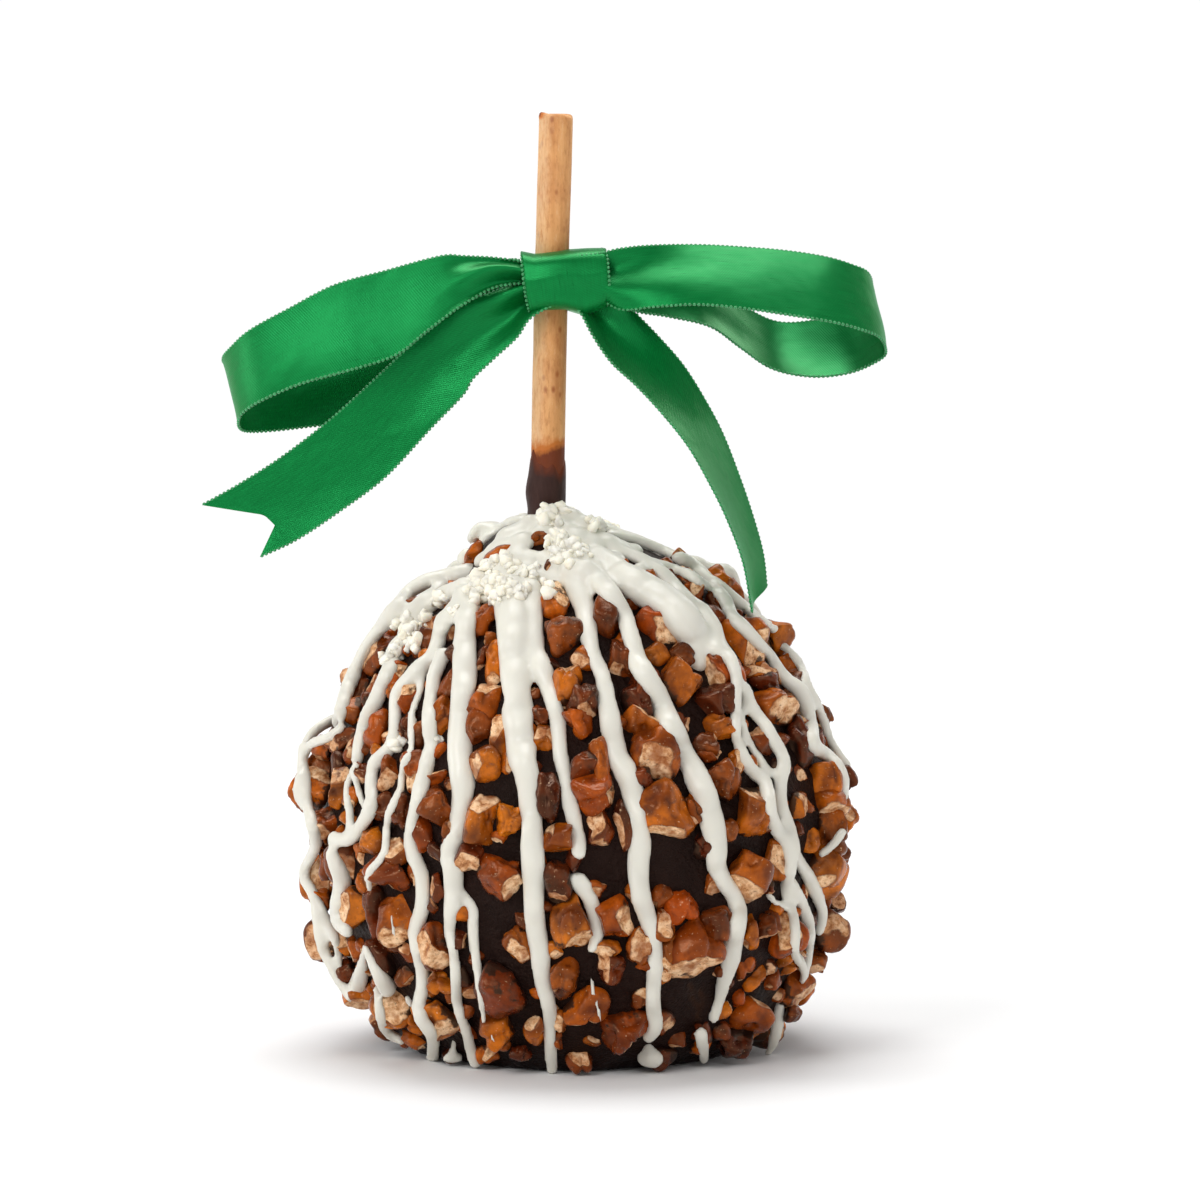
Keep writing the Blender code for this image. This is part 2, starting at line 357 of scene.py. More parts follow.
def wood():
    n = Nodes("birch_dowel")
    grain = n.noise(1.0, 4, 0.6, n.scaled(520, 520, 34))
    fine = n.noise(1.0, 5, 0.7, n.scaled(1500, 1500, 420))
    blotch = n.noise(1.0, 4, 0.62, n.scaled(230, 230, 120))
    col = n.ramp(grain, [(0.25, (0.510, 0.215, 0.070)), (0.5, (0.660, 0.320, 0.118)), (0.8, (0.770, 0.425, 0.185))])
    col = n.mix(n.ramp(blotch, [(0.46, 0.0), (0.68, 0.62)]), col, (0.430, 0.160, 0.050))
    col = n.mix(n.ramp(fine, [(0.52, 0.0), (0.70, 0.50)]), col, (0.340, 0.105, 0.030))
    col = n.mix(n.ramp(fine, [(0.30, 0.45), (0.42, 0.0)]), col, (0.740, 0.470, 0.260))
    v = n.new("ShaderNodeTexVoronoi", feature="F1")
    v.inputs["Scale"].default_value = 1.0
    v.inputs["Randomness"].default_value = 1.0
    n.link(n.scaled(620, 620, 380), v.inputs["Vector"])
    keep = n.ramp(n.noise(1.0, 2, 0.5, n.scaled(190, 190, 120)), [(0.50, 0.0), (0.58, 1.0)])
    spot = n.math("MULTIPLY", n.ramp(v.outputs["Distance"], [(0.12, 1.0), (0.34, 0.0)]), keep)
    col = n.mix(n.math("MULTIPLY", spot, 0.75), col, (0.270, 0.052, 0.012))
    # painted highlight: lighter wood colour on the stick's left front side, standing in for the lamps' light
    col = n.mix(n.math("MULTIPLY", n.attr("bloom_and_painted_light"), 0.62), col, n.mix(n.ramp(fine, [(0.45, 0.0), (0.7, 1.0)]), (0.830, 0.610, 0.370), (0.640, 0.340, 0.150)))
    burn = n.attr("burn")
    edge = n.math("ADD", burn, n.math("MULTIPLY", n.math("SUBTRACT", n.noise(1.0, 4, 0.6, n.scaled(330, 330, 240)), 0.5), 1.1))
    col = n.mix(n.ramp(edge, [(0.26, 0.0), (0.60, 0.92)]), col, (0.480, 0.130, 0.0150))
    col = n.mix(n.ramp(edge, [(0.74, 0.0), (1.08, 0.95)]), col, (0.130, 0.0240, 0.0060))
    h = n.math("ADD", grain, n.math("MULTIPLY", fine, 0.8))
    return n.set(
        Base_Color=col, Roughness=n.ramp(fine, [(0.3, 0.55), (0.7, 0.72)]),
        Normal=n.bump(h, 0.35, 0.0003), Specular_IOR_Level=0.25, Subsurface_Weight=0.05, Subsurface_Scale=0.001,
    )


def film():
    n = Nodes("chocolate_film")
    a = n.noise(1.0, 4, 0.6, n.scaled(500, 500, 140))
    col = n.ramp(a, [(0.3, (0.034, 0.0145, 0.0115)), (0.7, (0.058, 0.0270, 0.0220))])
    thin = n.attr("thin")
    col = n.mix(n.ramp(n.math("ADD", thin, n.math("MULTIPLY", n.math("SUBTRACT", n.noise(330, 4, 0.6), 0.5), 0.9)), [(0.30, 0.0), (1.0, 0.95)]), col, (0.150, 0.0300, 0.0080))
    return n.set(Specular_IOR_Level=0.14, Base_Color=col, Roughness=n.ramp(n.noise(400, 3), [(0.3, 0.42), (0.7, 0.6)]), Normal=n.bump(a, 0.4, 0.0004))


def satin():
    n = Nodes("green_satin")
    uvn = n.new("ShaderNodeUVMap", uv_map="cloth").outputs["UV"]
    sep = n.new("ShaderNodeSeparateXYZ")
    n.link(uvn, sep.inputs[0])
    u, v = sep.outputs[0], sep.outputs[1]      # across and along, in millimetres
    # steep twill lines across the ribbon, and fine yarns along it
    tw = n.math("SINE", n.math("ADD", n.math("MULTIPLY", u, 8.0), n.math("MULTIPLY", v, 14.0)))
    warp = n.math("SINE", n.math("MULTIPLY", u, 30.0))
    comb = n.new("ShaderNodeCombineXYZ")
    n.link(n.math("MULTIPLY", u, 3.2), comb.inputs[0])
    n.link(n.math("MULTIPLY", v, 0.22), comb.inputs[1])
    slub = n.noise(1.0, 4, 0.6, comb.outputs[0])
    comb2 = n.new("ShaderNodeCombineXYZ")
    n.link(n.math("MULTIPLY", u, 0.12), comb2.inputs[0])
    n.link(n.math("MULTIPLY", v, 0.12), comb2.inputs[1])
    soft = n.noise(1.0, 2, 0.5, comb2.outputs[0])
    col = n.ramp(slub, [(0.3, (0.0010, 0.142, 0.0265)), (0.7, (0.0022, 0.198, 0.0390))])
    col = n.mix(n.math("MULTIPLY", n.math("ADD", n.math("MULTIPLY", tw, 0.5), 0.5), 0.35), col, (0.0008, 0.088, 0.0165))
    h = n.math("ADD", n.math("MULTIPLY", tw, 0.5), n.math("MULTIPLY", warp, 0.22))
    nrm = n.bump(h, 0.25, 0.00006)
    nrm = n.bump(soft, 0.4, 0.0008, nrm)
    return n.set(
        Base_Color=col, Roughness=n.ramp(slub, [(0.3, 0.27), (0.7, 0.37)]), Metallic=0.34,
        Normal=nrm, Specular_IOR_Level=0.70, Sheen_Weight=0.08, Sheen_Roughness=0.3,
        Sheen_Tint=(0.25, 1.0, 0.45), Anisotropic=0.6, Specular_Tint=(0.16, 1.0, 0.42),
    )


def thread():
    n = Nodes("edge_stitching")
    col = n.ramp(n.noise(900, 3), [(0.3, (0.006, 0.190, 0.045)), (0.7, (0.030, 0.330, 0.105))])
    return n.set(Base_Color=col, Roughness=n.ramp(n.noise(700, 2), [(0.3, 0.45), (0.7, 0.6)]), Sheen_Weight=0.3, Normal=n.bump(n.noise(3000, 2), 0.4, 0.0001))


M_CHOC, M_NUT, M_WHITE, M_CRYSTAL = chocolate(), pecan(), white_chocolate(), crystal()
M_WOOD, M_FILM, M_SATIN, M_THREAD = wood(), film(), satin(), thread()

# ----------------------------------------------------- the chocolate surface
OUTLINE = np.array([  # height, radius of the outside with its nuts, in mm
    (0.0, 34.5), (4.0, 38.8), (9.0, 43.0), (18.0, 47.6), (28.0, 49.6),
    (37.0, 50.6), (46.0, 51.6), (56.0, 49.6), (65.0, 45.6), (74.0, 40.4),
    (83.0, 34.0), (88.5, 27.0), (91.0, 23.5), (95.5, 13.5), (98.5, 6.5), (99.0, 0.0)])
CZ = 46.0
_z, _r = OUTLINE[::-1, 0], OUTLINE[::-1, 1]
RAY_ANGLE = np.degrees(np.arctan2(_r, _z - CZ))
RAY_REACH = np.hypot(_r, _z - CZ)


def sstep(a, b, x):
    t = np.clip((x - a) / (b - a), 0, 1)
    return t * t * (3 - 2 * t)


def core_points(d, inset):
    """Points of the coat under the nuts along directions d, in metres."""
    polar = np.degrees(np.arccos(np.clip(d[:, 2], -1, 1)))
    reach = np.zeros(len(d))
    for k, w in ((-4, 1), (-2, 2), (0, 3), (2, 2), (4, 1)):
        reach += w / 9 * np.interp(polar + k, RAY_ANGLE, RAY_REACH)
    reach -= inset * sstep(8, 34, polar) * (1 - 0.45 * sstep(128, 141, polar))
    p = d * reach[:, None]
    lump = 0.9 * fbm(p, 26, 2, 5) + 1.0 * fbm(p, 8, 3, 9)
    p = d * (reach + lump * sstep(6, 30, polar))[:, None]
    p[:, 2] += CZ
    under = (p[:, 2] < 0.25) & (d[:, 2] < -0.3)
    t = (CZ - 0.25) / -np.where(under, d[:, 2], -1)
    flat = np.stack([d[:, 0] * t, d[:, 1] * t, np.full(len(d), 0.25)], 1)
    p = np.where(under[:, None], flat, p)
    p[:, 0] += -5.2 * sstep(88, 99, p[:, 2])
    return p * MM


D7, F7 = ico(7)
core = core_points(D7, 3.4)
# two hairline cracks low on the right of the front
cr = np.zeros(len(core))


def crack(points, width, depth):
    global core, cr
    for (a, b) in zip(points, points[1:]):
        a, b = np.array(a), np.array(b)
        ab = b - a
        t = np.clip(((core - a) @ ab) / (ab @ ab), 0, 1)
        dist = np.linalg.norm(core - (a + t[:, None] * ab), axis=1)
        k = np.exp(-(dist / width) ** 2)
        cr = np.maximum(cr, k)
        core = core - D7 * (depth * k)[:, None]


core_tree0 = tree(core, F7)


def hit(bvh, u, v):
    o, d = ray(u, v)
    loc, nor, _, dist = bvh.ray_cast(o, d)
    return (loc, nor, dist) if loc else None


for path in (((690, 985), (693, 998), (699, 1010), (697, 1024), (700, 1040)), ((700, 990), (703, 1003), (699, 1012)), ((655, 1010), (668, 1016))):
    pts = [hit(core_tree0, *p) for p in path]
    crack([np.array(p[0]) for p in pts if p], 0.00045, 0.0004)

core_ob = make("chocolate_coat", core, F7, M_CHOC, {"crack": np.clip(cr, 0, 1)})
CORE = tree(core, F7)

# ------------------------------------------------------------------- pecans
D4, F4 = ico(4)
D3, F3 = ico(3)


def fragment(seed, kind, w, h, t, level=4):
    """A chopped pecan piece: x across, y along, z outward, in mm.
    kind: o, r, d show skin; b shows a broken face; m shows skin with a broken end."""
    rng = random.Random(seed)
    d, f = (D4, F4) if level == 4 else (D3, F3)
    ax = np.array([0.57 * w, 0.57 * h, 0.57 * t])
    small = min(w, h)
    e = rng.uniform(2.1, 2.9)
    reach = 1 / (np.abs(d / ax) ** e).sum(1) ** (1 / e)

    def cut(planes):
        r = np.full(len(d), 1e9)
        for nrm, frac in planes:
            nrm = np.array(nrm) / np.linalg.norm(nrm)
            c = d @ nrm
            r = np.minimum(r, np.where(c > 0.02, frac * np.linalg.norm(nrm * ax) / np.maximum(c, 0.02), 1e9))
        return r

    shape = [((rng.uniform(-.2, .2), rng.uniform(-.2, .2), -1.0), 0.7)]
    a0 = rng.uniform(0, math.tau)
    for k in range(rng.choice((3, 4, 4, 5))):
        a = a0 + k * 1.45 + rng.uniform(-0.5, 0.5)
        shape.append(((math.cos(a), math.sin(a), rng.uniform(-0.15, 0.85)), rng.uniform(0.55, 0.82)))
    broken = []
    a = rng.uniform(0, math.tau)
    if kind == "b":
        broken.append(((rng.uniform(-.5, .5), rng.uniform(-.5, .5), 1.0), rng.uniform(0.50, 0.72)))
        broken.append(((math.cos(a), math.sin(a), 0.5), rng.uniform(0.6, 0.8)))
    elif kind == "m":
        broken.append(((rng.uniform(-.5, .5), rng.choice((-0.9, -0.9, 0.9)), rng.uniform(0.45, 0.85)), rng.uniform(0.34, 0.54)))
    elif rng.random() < (0.45 if kind == 'd' else 0.85):
        broken.append(((math.cos(a), math.sin(a), rng.uniform(0.1, 0.8)), rng.uniform(0.48, 0.70)))
    rs, rb = cut(shape), cut(broken) if broken else np.full(len(d), 1e9)
    s = 13.0
    m = (reach ** -s + rs ** -s + rb ** -s) ** (-1 / s)
    body = np.minimum(reach, rs)
    q0 = d * m[:, None]
    wob = 0.10 * vnoise(q0, 2.0, 11 + seed % 91)
    skin = 1 / (1 + (body / rb * (1 + wob)) ** 12)
    ridge = np.exp(-((reach / rs - 1) / 0.09) ** 2)
    # worn lumps, a dent or two, and the grooves of the skin
    lump = 0.085 * small * vnoise(q0, 0.62 * small, seed % 97) + 0.15 * vnoise(q0, 1.6, 5 + seed % 83)
    for k in range(rng.choice((0, 1, 1, 2))):
        c = np.array([rng.uniform(-1, 1), rng.uniform(-1, 1), rng.uniform(0.2, 1.0)])
        c = c / np.linalg.norm(c)
        lump = lump - rng.uniform(0.08, 0.17) * small * np.exp(-(((d - c) ** 2).sum(1)) / rng.uniform(0.06, 0.2))
    run = np.stack([q0[:, 0] / rng.uniform(1.5, 2.2), (q0[:, 1] + q0[:, 0] * rng.uniform(-0.5, 0.5)) / rng.uniform(3.6, 5.5), q0[:, 2] / 2.4], 1)
    groove = np.clip(1 - np.abs(vnoise(run, 1.0, seed % 79)) * 3.0, 0, 1) ** 1.3
    groove *= np.clip(0.75 + 0.9 * vnoise(q0, 2.6, 17 + seed % 73), 0, 1.2)
    depth = rng.choice((0.10, 0.30, 0.50, 0.65))
    fine = fbm(q0, 1.3, 3, 3 + seed % 89)
    lift = lump + skin * (-depth * groove + 0.07 * fine) + (1 - skin) * (0.46 * fine - 0.14)
    if kind in "omr" and rng.random() < 0.55 and w > 3.8:  # the middle furrow of a half
        lift = lift - 0.8 * np.exp(-((q0[:, 0] - 0.08 * w) / 0.6) ** 2) * (q0[:, 2] > 0)
    p = q0 + d * lift[:, None]
    streak = np.clip(groove * min(0.8, 0.15 + depth * 1.2) + 0.45 * ridge * (0.5 + vnoise(q0, 1.6, 29 + seed % 71)), 0, 1)
    return p, f, np.clip(skin, 0, 1), streak, rng


# front layout: u, v of the middle, width, height, look, turn in degrees
PECANS = """
487 622 18 45 o 4; 483 659 12 25 r 0; 496 666 14 50 o -4; 486 698 28 45 m 0; 478 731 22 35 r 5; 500 736 20 35 b 0
555 605 25 38 o 0; 563 636 34 40 r 0; 565 684 30 50 m 10; 584 703 32 40 r -25; 607 617 28 50 r 10; 619 663 30 35 r 0
542 717 18 25 r 0; 543 739 22 25 b 0; 578 723 30 22 o 60; 583 765 27 30 d 0; 598 755 18 50 o 0; 638 707 30 45 d 0
483 765 30 28 b 0; 482 816 32 55 m 0; 510 819 27 38 o 20; 471 857 27 30 b 0; 506 875 42 55 m -15; 548 795 22 50 r 0
559 837 34 35 o 60; 597 794 44 38 o 65; 599 828 28 45 b 0; 622 824 18 45 r 0; 555 880 28 50 d 0; 574 925 36 70 m 0
614 919 40 45 o -10; 519 945 20 45 b -8; 501 989 34 65 d -8; 499 1028 45 22 o 80; 564 976 22 60 r 10; 586 1008 36 55 m 15
609 966 38 25 r 80; 605 948 30 20 b 0; 628 1028 48 45 m -35; 535 1028 17 45 o 0; 561 1021 14 25 b 0; 580 1058 27 22 r 0
486 1052 24 20 o 0; 639 945 22 50 b 0; 667 951 14 50 o 0; 662 922 20 30 b 0; 681 907 34 35 o 10; 695 951 42 70 m 10
718 925 37 50 r 0; 747 932 18 45 o 0; 750 1010 36 45 o 35; 731 1038 37 38 d 0; 659 1056 26 22 d 0; 657 753 47 50 m 20
664 819 47 75 m -15; 692 813 15 30 r 0; 710 753 22 25 b 0; 720 777 30 35 r 0; 735 762 15 22 b 0; 752 808 36 55 m 10
725 832 15 27 r 0; 702 845 22 30 d 0; 743 873 42 60 m 0; 775 856 27 45 b 0; 764 924 20 35 r 0; 781 935 27 45 o 0
657 628 38 40 m 0; 679 653 20 22 r 0; 679 679 36 45 m 30; 717 675 36 55 o 0; 712 704 30 35 r 0; 719 730 30 20 o 80
708 745 25 30 r 0; 641 688 28 40 d 0; 642 719 38 35 m 20; 744 643 40 55 m 0; 757 675 24 24 b 0; 762 685 25 25 d 0
772 709 30 35 m 0; 791 698 22 40 r 0; 796 742 36 42 d 0; 720 575 18 18 o 0; 782 627 20 35 o -10; 771 639 20 26 r 0
689 591 35 14 b 85; 715 605 16 25 r 0; 631 598 16 25 r 0; 824 715 13 28 r 0; 852 779 10 28 r 0; 820 781 30 35 o 0
830 768 20 26 b 0; 792 669 22 22 o 0; 818 719 10 28 o 0; 797 808 17 28 b 0; 824 805 38 34 m 20; 825 833 34 28 r 70
851 818 15 28 o 0; 833 853 19 35 r 0; 818 876 40 60 o 5; 839 908 14 22 r 0; 829 933 30 40 r 0; 815 966 22 30 r 0
788 989 27 45 b 0; 806 993 14 35 o 0; 792 1016 20 18 r 0; 764 1030 22 40 d 10; 412 614 22 55 o 35; 384 654 22 35 b 10
428 642 17 27 r 0; 361 689 35 25 r 60; 401 675 22 17 o 80; 356 713 22 24 o 0; 378 732 20 40 o 0; 409 698 17 27 b 0
407 730 15 30 r 0; 420 736 13 30 r 0; 444 719 18 50 o 10; 345 741 22 30 r 0; 326 778 27 55 m 10; 341 791 17 45 b 5
331 822 30 32 b 0; 391 773 18 32 r 0; 415 772 18 45 b 0; 383 806 20 28 r 0; 402 811 18 37 d 0; 439 806 28 42 r 0
424 834 15 37 o 0; 372 841 22 30 o 0; 398 851 22 26 m 0; 347 862 24 40 r 0; 321 878 20 45 o 0; 391 873 38 37 m 0
400 917 30 50 o 0; 358 910 27 40 b 0; 379 906 18 60 d 0; 437 945 32 45 b 0; 442 979 24 26 o 0; 439 1015 32 50 b 0
407 975 16 24 r 0; 397 1002 30 37 o 10; 364 996 26 27 o 0; 351 974 14 30 r 0; 382 955 20 50 d 0; 409 1038 14 14 o 0
440 887 14 32 r 0; 307 843 10 20 o 0; 345 938 22 32 o 0; 476 554 15 20 o 0; 538 541 18 14 r 60; 549 572 14 16 r 0
622 569 20 12 o 80; 678 559 22 12 o 70; 663 576 22 12 r 70; 438 605 18 20 o 0; 369 880 22 26 o 0; 452 1052 20 16 d 0
318 747 20 30 o 0; 326 944 34 42 r 0; 306 791 30 40 o 0; 312 905 16 26 o 0; 520 1052 22 18 d 0; 700 1030 22 26 d 0; 455 655 12 20 r 0; 470 700 14 24 o 0; 515 700 14 22 r 0; 452 830 16 26 r 0
462 940 14 24 d 0; 640 780 22 26 d 0; 680 725 22 22 r 0; 700 800 20 26 r 0; 760 740 20 26 r 0; 778 770 18 22 d 0
"""

nuts = Heap()
front_spots, sizes = [], []


def put_nut(loc, nor, up_dir, w, h, kind, turn, seed, lift=0.0, level=4):
    """Sets a piece on the coat at loc, with its long side along up_dir."""
    rng = random.Random(seed * 7 + 1)
    t = max(3.0, min(6.2, 0.62 * w + 0.12 * h)) * rng.uniform(0.9, 1.15)
    p, f, skin, streak, rng2 = fragment(seed, kind, w, h, t, level)
    n = Vector(nor).normalized()
    y = (up_dir - n * up_dir.dot(n)).normalized()
    y = Matrix.Rotation(math.radians(turn), 3, n) @ y
    tip = Matrix.Rotation(math.radians(rng.uniform(-24, 24)), 3, y) @ Matrix.Rotation(math.radians(rng.uniform(-16, 16)), 3, y.cross(n))
    n, y = tip @ n, tip @ y
    x = y.cross(n)
    basis = np.array([x, y, n])
    centre = np.array(loc) + np.array(nor) * (0.16 * t * MM + lift * MM)
    v = (p * MM) @ basis + centre
    # the lower sides get chocolate smear, also made darker than real as painted shade where the pieces meet the coat
    low = -p[:, 2] / t  # what is near the coat is smeared with it
    coat = np.clip(0.25 + 0.95 * low + 0.25 * vnoise(p, 2.6, seed % 67), 0, 1)
    if kind == "d":
        coat = np.clip(coat + 0.26 + 0.3 * vnoise(p, 2.2, seed % 61), 0, 1)
    red = {"o": 0.02, "m": 0.12, "r": 0.74, "d": 0.95, "b": 0.25}[kind] + rng.uniform(-0.10, 0.22)
    nuts.add(v, f, skin=skin, streak=streak, coat=coat, tone=rng.random(), red=min(1, max(0, red)))


seed = 100
for row in PECANS.replace("\n", ";").split(";"):
    row = row.split()
    if not row:
        continue
    u, v, w, h = (float(x) for x in row[:4])
    kind, turn = row[4], float(row[5])
    uu, vv, found = u, v, None
    for k in range(40):
        found = hit(CORE, uu, vv)
        if found:
            break
        uu += (579 - uu) * 0.012
        vv += (800 - vv) * 0.012
    if not found:
        continue
    loc, nor, _ = found
    facing = max(0.35, -nor.dot(FWD))
    side = abs(nor.dot(RIGHT))
    wmm = w * 0.1875 * min(1.7, 1 + 0.75 * side * side) * 1.04
    hmm = h * 0.1875 * min(1.5, 1 + 0.9 * max(0, nor.z) ** 2) * 1.04
    miss = math.hypot(uu - u, vv - v) * 0.1875
    put_nut(loc, nor, UP, wmm, hmm, kind, -turn, seed, lift=min(2.0, miss * 0.6))
    front_spots.append(np.array(loc))
    sizes.append((wmm + hmm) * 0.25)
    seed += 1

# the rest of the coat: small bits between the large ones at the front, then
# the same mix over the sides and the back. Bare patches of the front stay bare.
BARE = ((655, 868, 70, 26), (494, 918, 30, 42), (690, 1000, 32, 34), (620, 985, 28, 18), (658, 782, 24, 18),
        (560, 1055, 160, 12), (475, 690, 5, 30))


def screen(p):
    """Layout coordinates of a world point."""
    q = Vector(p) - EYE
    k = q.dot(FWD)
    return 600 + q.dot(RIGHT) / k * (DIST / UNIT), 600 - q.dot(UP) / k * (DIST / UNIT)


rng = random.Random(42)
P, S = np.array(front_spots), np.array(sizes)
made = [0, 0]
for stage, n_tries in ((0, 5200), (1, 7000)):
    for k in range(n_tries):
        c = rng.uniform(math.cos(math.radians(140)), math.cos(math.radians(20)))
        a = rng.uniform(0, math.tau)
        s = math.sqrt(1 - c * c)
        d = Vector((s * math.cos(a), s * math.sin(a), c))
        loc, nor, _, _ = CORE.ray_cast(Vector((0, 0, CZ * MM)), d)
        if loc is None:
            continue
        face = -nor.dot((Vector(loc) - EYE).normalized())
        front = face > 0.12
        low = sstep(118, 136, math.degrees(math.acos(c)))
        if stage == 0:
            if not front:
                continue
            u, v = screen(loc)
            if any(((u - b[0]) / b[2]) ** 2 + ((v - b[1]) / b[3]) ** 2 < 1 for b in BARE):
                continue
            w = rng.uniform(2.8, 5.0)
            h = w * rng.uniform(1.15, 1.8)
            kind, near, lift, lvl = rng.choice("rrdommbo"), 0.80, rng.uniform(-1.0, -0.2), 3
        else:
            if front:
                continue
            w, h = rng.uniform(3.2, 7.4), rng.uniform(4.6, 10.2)
            if rng.random() < 0.35:
                w, h = w * 0.6, h * 0.6
            kind, near, lift = rng.choice("oooommmrrrddbb"), 0.79 + 0.35 * low, rng.uniform(-0.4, 0.5)
            lvl = 4 if w * h > 46 else 3
        r = (w + h) * 0.25
        if (np.linalg.norm(P - np.array(loc), axis=1) < near * (S + r) * MM).any():
            continue
        put_nut(loc, nor, Vector((0, 0, 1)) if abs(nor.z) < 0.9 else RIGHT, w, h, kind, rng.uniform(-70, 70), 5000 + stage * 9000 + k, lift=lift, level=lvl)
        P, S = np.vstack([P, np.array(loc)]), np.append(S, r)
        made[stage] += 1
print("pecans", len(front_spots), made)

nv, nf, na = nuts.done()
# a piece of nut must stay whole: use each connected piece's first vertex
piece_id = np.concatenate([np.full(len(a["skin"]), i) for i, a in enumerate(nuts.a)])
first = np.array([v[:, :].mean(0) for v in nuts.v])
group = np.where(first[:, 1] > 0.004, 2, 0) + (first[:, 0] >= 0)
nut_obs = []
for g, nm in enumerate(("pecans_front_left", "pecans_front_right", "pecans_back_left", "pecans_back_right")):
    vm = group[piece_id] == g
    remap = np.cumsum(vm) - 1
    fm = vm[nf[:, 0]]
    nut_obs.append(make(nm, nv[vm], remap[nf[fm]], M_NUT, {k: x[vm] for k, x in na.items()}))
    print(nm, fm.sum())
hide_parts("coated_apple")

ALL = tree(np.concatenate([core, nv]), np.concatenate([F7, nf + len(core)]))

# ------------------------------------------------------------------ drizzle
def surface(u, v, bvh=None):
    """The outside of the coat on a sight line: point, normal, distance."""
    bvh = bvh or ALL
    found = hit(bvh, u, v)
    if found:
        return found
    o, d = ray(u, v)
    t = (Vector((0.0, 0.0, CZ * MM)) - o).dot(d)
    for _ in range(3):
        p = o + d * t
        q, nor, _, dist = CORE.find_nearest(p)
        t = (q - o).dot(d)
    p = o + d * t
    q, nor, _, dist = CORE.find_nearest(p)
    if dist > 0.0055:
        p = q + (p - q) * (0.0055 / dist)
    return p, nor, t


def resample(points, step):
    pts = np.array(points, float)
    seg = np.linalg.norm(np.diff(pts[:, :2], axis=0), axis=1)
    s = np.concatenate([[0], np.cumsum(seg)])
    n = max(3, int(s[-1] / step) + 1)
    t = np.linspace(0, s[-1], n)
    out = np.stack([np.interp(t, s, pts[:, k]) for k in range(pts.shape[1])], 1)
    # round the corners
    for _ in range(2):
        out[1:-1] = 0.25 * out[:-2] + 0.5 * out[1:-1] + 0.25 * out[2:]
    return out


def tube(path, normals, radius, flat=0.74, sides=10):
    """A closed bead along a path, flattened against the surface, with round ends."""
    n = len(path)
    tang = np.gradient(path, axis=0)
    tang /= np.linalg.norm(tang, axis=1)[:, None] + 1e-12
    nor = normals - (normals * tang).sum(1)[:, None] * tang
    nor /= np.linalg.norm(nor, axis=1)[:, None] + 1e-12
    side = np.cross(tang, nor)
    # ends: half-round caps made of shrinking rings
    rings, P = [], []
    caps = ((-0.95, 0.30), (-0.72, 0.68), (-0.38, 0.92))
    for k, (off, sc) in enumerate(caps):
        P.append((path[0] + tang[0] * radius[0] * off, nor[0], side[0], radius[0] * sc))
    for i in range(n):
        P.append((path[i], nor[i], side[i], radius[i]))
    for off, sc in reversed(caps):
        P.append((path[-1] - tang[-1] * radius[-1] * off, nor[-1], side[-1], radius[-1] * sc))
    a = np.linspace(0, math.tau, sides, endpoint=False)
    V = []
    for c, nn, ss, r in P:
        V.append(c + np.outer(np.cos(a) * r, ss) + np.outer(np.sin(a) * r * flat, nn))
    V = np.concatenate(V)
    F = []
    m = len(P)
    for i in range(m - 1):
        for k in range(sides):
            k2 = (k + 1) % sides
            q = (i * sides + k, i * sides + k2, (i + 1) * sides + k2, (i + 1) * sides + k)
            F += [(q[0], q[1], q[2]), (q[0], q[2], q[3])]
    c0, c1 = len(V), len(V) + 1
    V = np.concatenate([V, [P[0][0] - tang[0] * radius[0] * 0.05, P[-1][0] + tang[-1] * radius[-1] * 0.05]])
    for k in range(sides):
        F.append((c0, (k + 1) % sides, k))
        F.append((c1, (m - 1) * sides + k, (m - 1) * sides + (k + 1) % sides))
    F = np.array(F)[:, ::-1]
    return V, F


def smooth1(x, k):
    if k < 1:
        return x
    pad = np.concatenate([np.full(k, x[0]), x, np.full(k, x[-1])])
    w = np.hanning(2 * k + 3)[1:-1]
    return np.convolve(pad, w / w.sum(), "valid")


def pour(points, widths, seed=0, bvh=None, sink=0.12):
    """A stream of icing over the coat: points u, v of its middle, and widths along it."""
    n = len(points)
    w = 1.0 * np.interp(np.linspace(0, 1, n), np.linspace(0, 1, len(widths)), widths) + 2.2
    pts = resample([(p[0], p[1], w[i]) for i, p in enumerate(points)], 3.2)
    loc, nor, dep = [], [], []
    for u, v, _ in pts:
        l, nn, t = surface(u, v, bvh)
        loc.append(l)
        nor.append(nn)
        dep.append(t)
    dep = np.array(dep)
    # thick icing bridges small hollows and hugs what stands out
    near = np.minimum.reduce([np.roll(dep, k) if k == 0 else np.concatenate([dep[k:], np.full(k, dep[-1])]) if k > 0 else np.concatenate([np.full(-k, dep[0]), dep[:k]]) for k in (-2, -1, 0, 1, 2)])
    path_d = np.minimum(smooth1(0.5 * dep + 0.5 * near, 3), dep + 0.0003)
    # towards the sides of the coat its depth is evened out along the run
    k = max(1, min(20, len(dep) // 2))
    face = smooth1(np.array([-Vector(x[:]).dot(FWD) for x in nor]), min(6, k))
    f = np.clip(face, 0.22, 1)
    calm = np.clip(smooth1(smooth1(dep, k), k) - 0.0003 / f, dep - 0.0018 / f, dep + 0.0007 / f)
    side = sstep(0.66, 0.36, face)
    path_d = smooth1(path_d * (1 - side) + calm * side, 2)
    path, normals, rad = [], [], []
    nrm = np.array([x[:] for x in nor])
    for k in range(3):
        nrm[:, k] = smooth1(nrm[:, k], 4)
    nrm /= np.linalg.norm(nrm, axis=1)[:, None]
    rn = vnoise(np.stack([pts[:, 0], pts[:, 1], np.full(len(pts), seed * 50.0)], 1), 22, seed)
    for i, (u, v, wd) in enumerate(pts):
        o, d = ray(u, v)
        r = 0.5 * wd * UNIT * (1 + 0.10 * rn[i])
        p = np.array(o + d * path_d[i]) + nrm[i] * (r * sink)
        path.append(p)
        normals.append(nrm[i])
        rad.append(r)
    return tube(np.array(path), np.array(normals), np.array(rad))


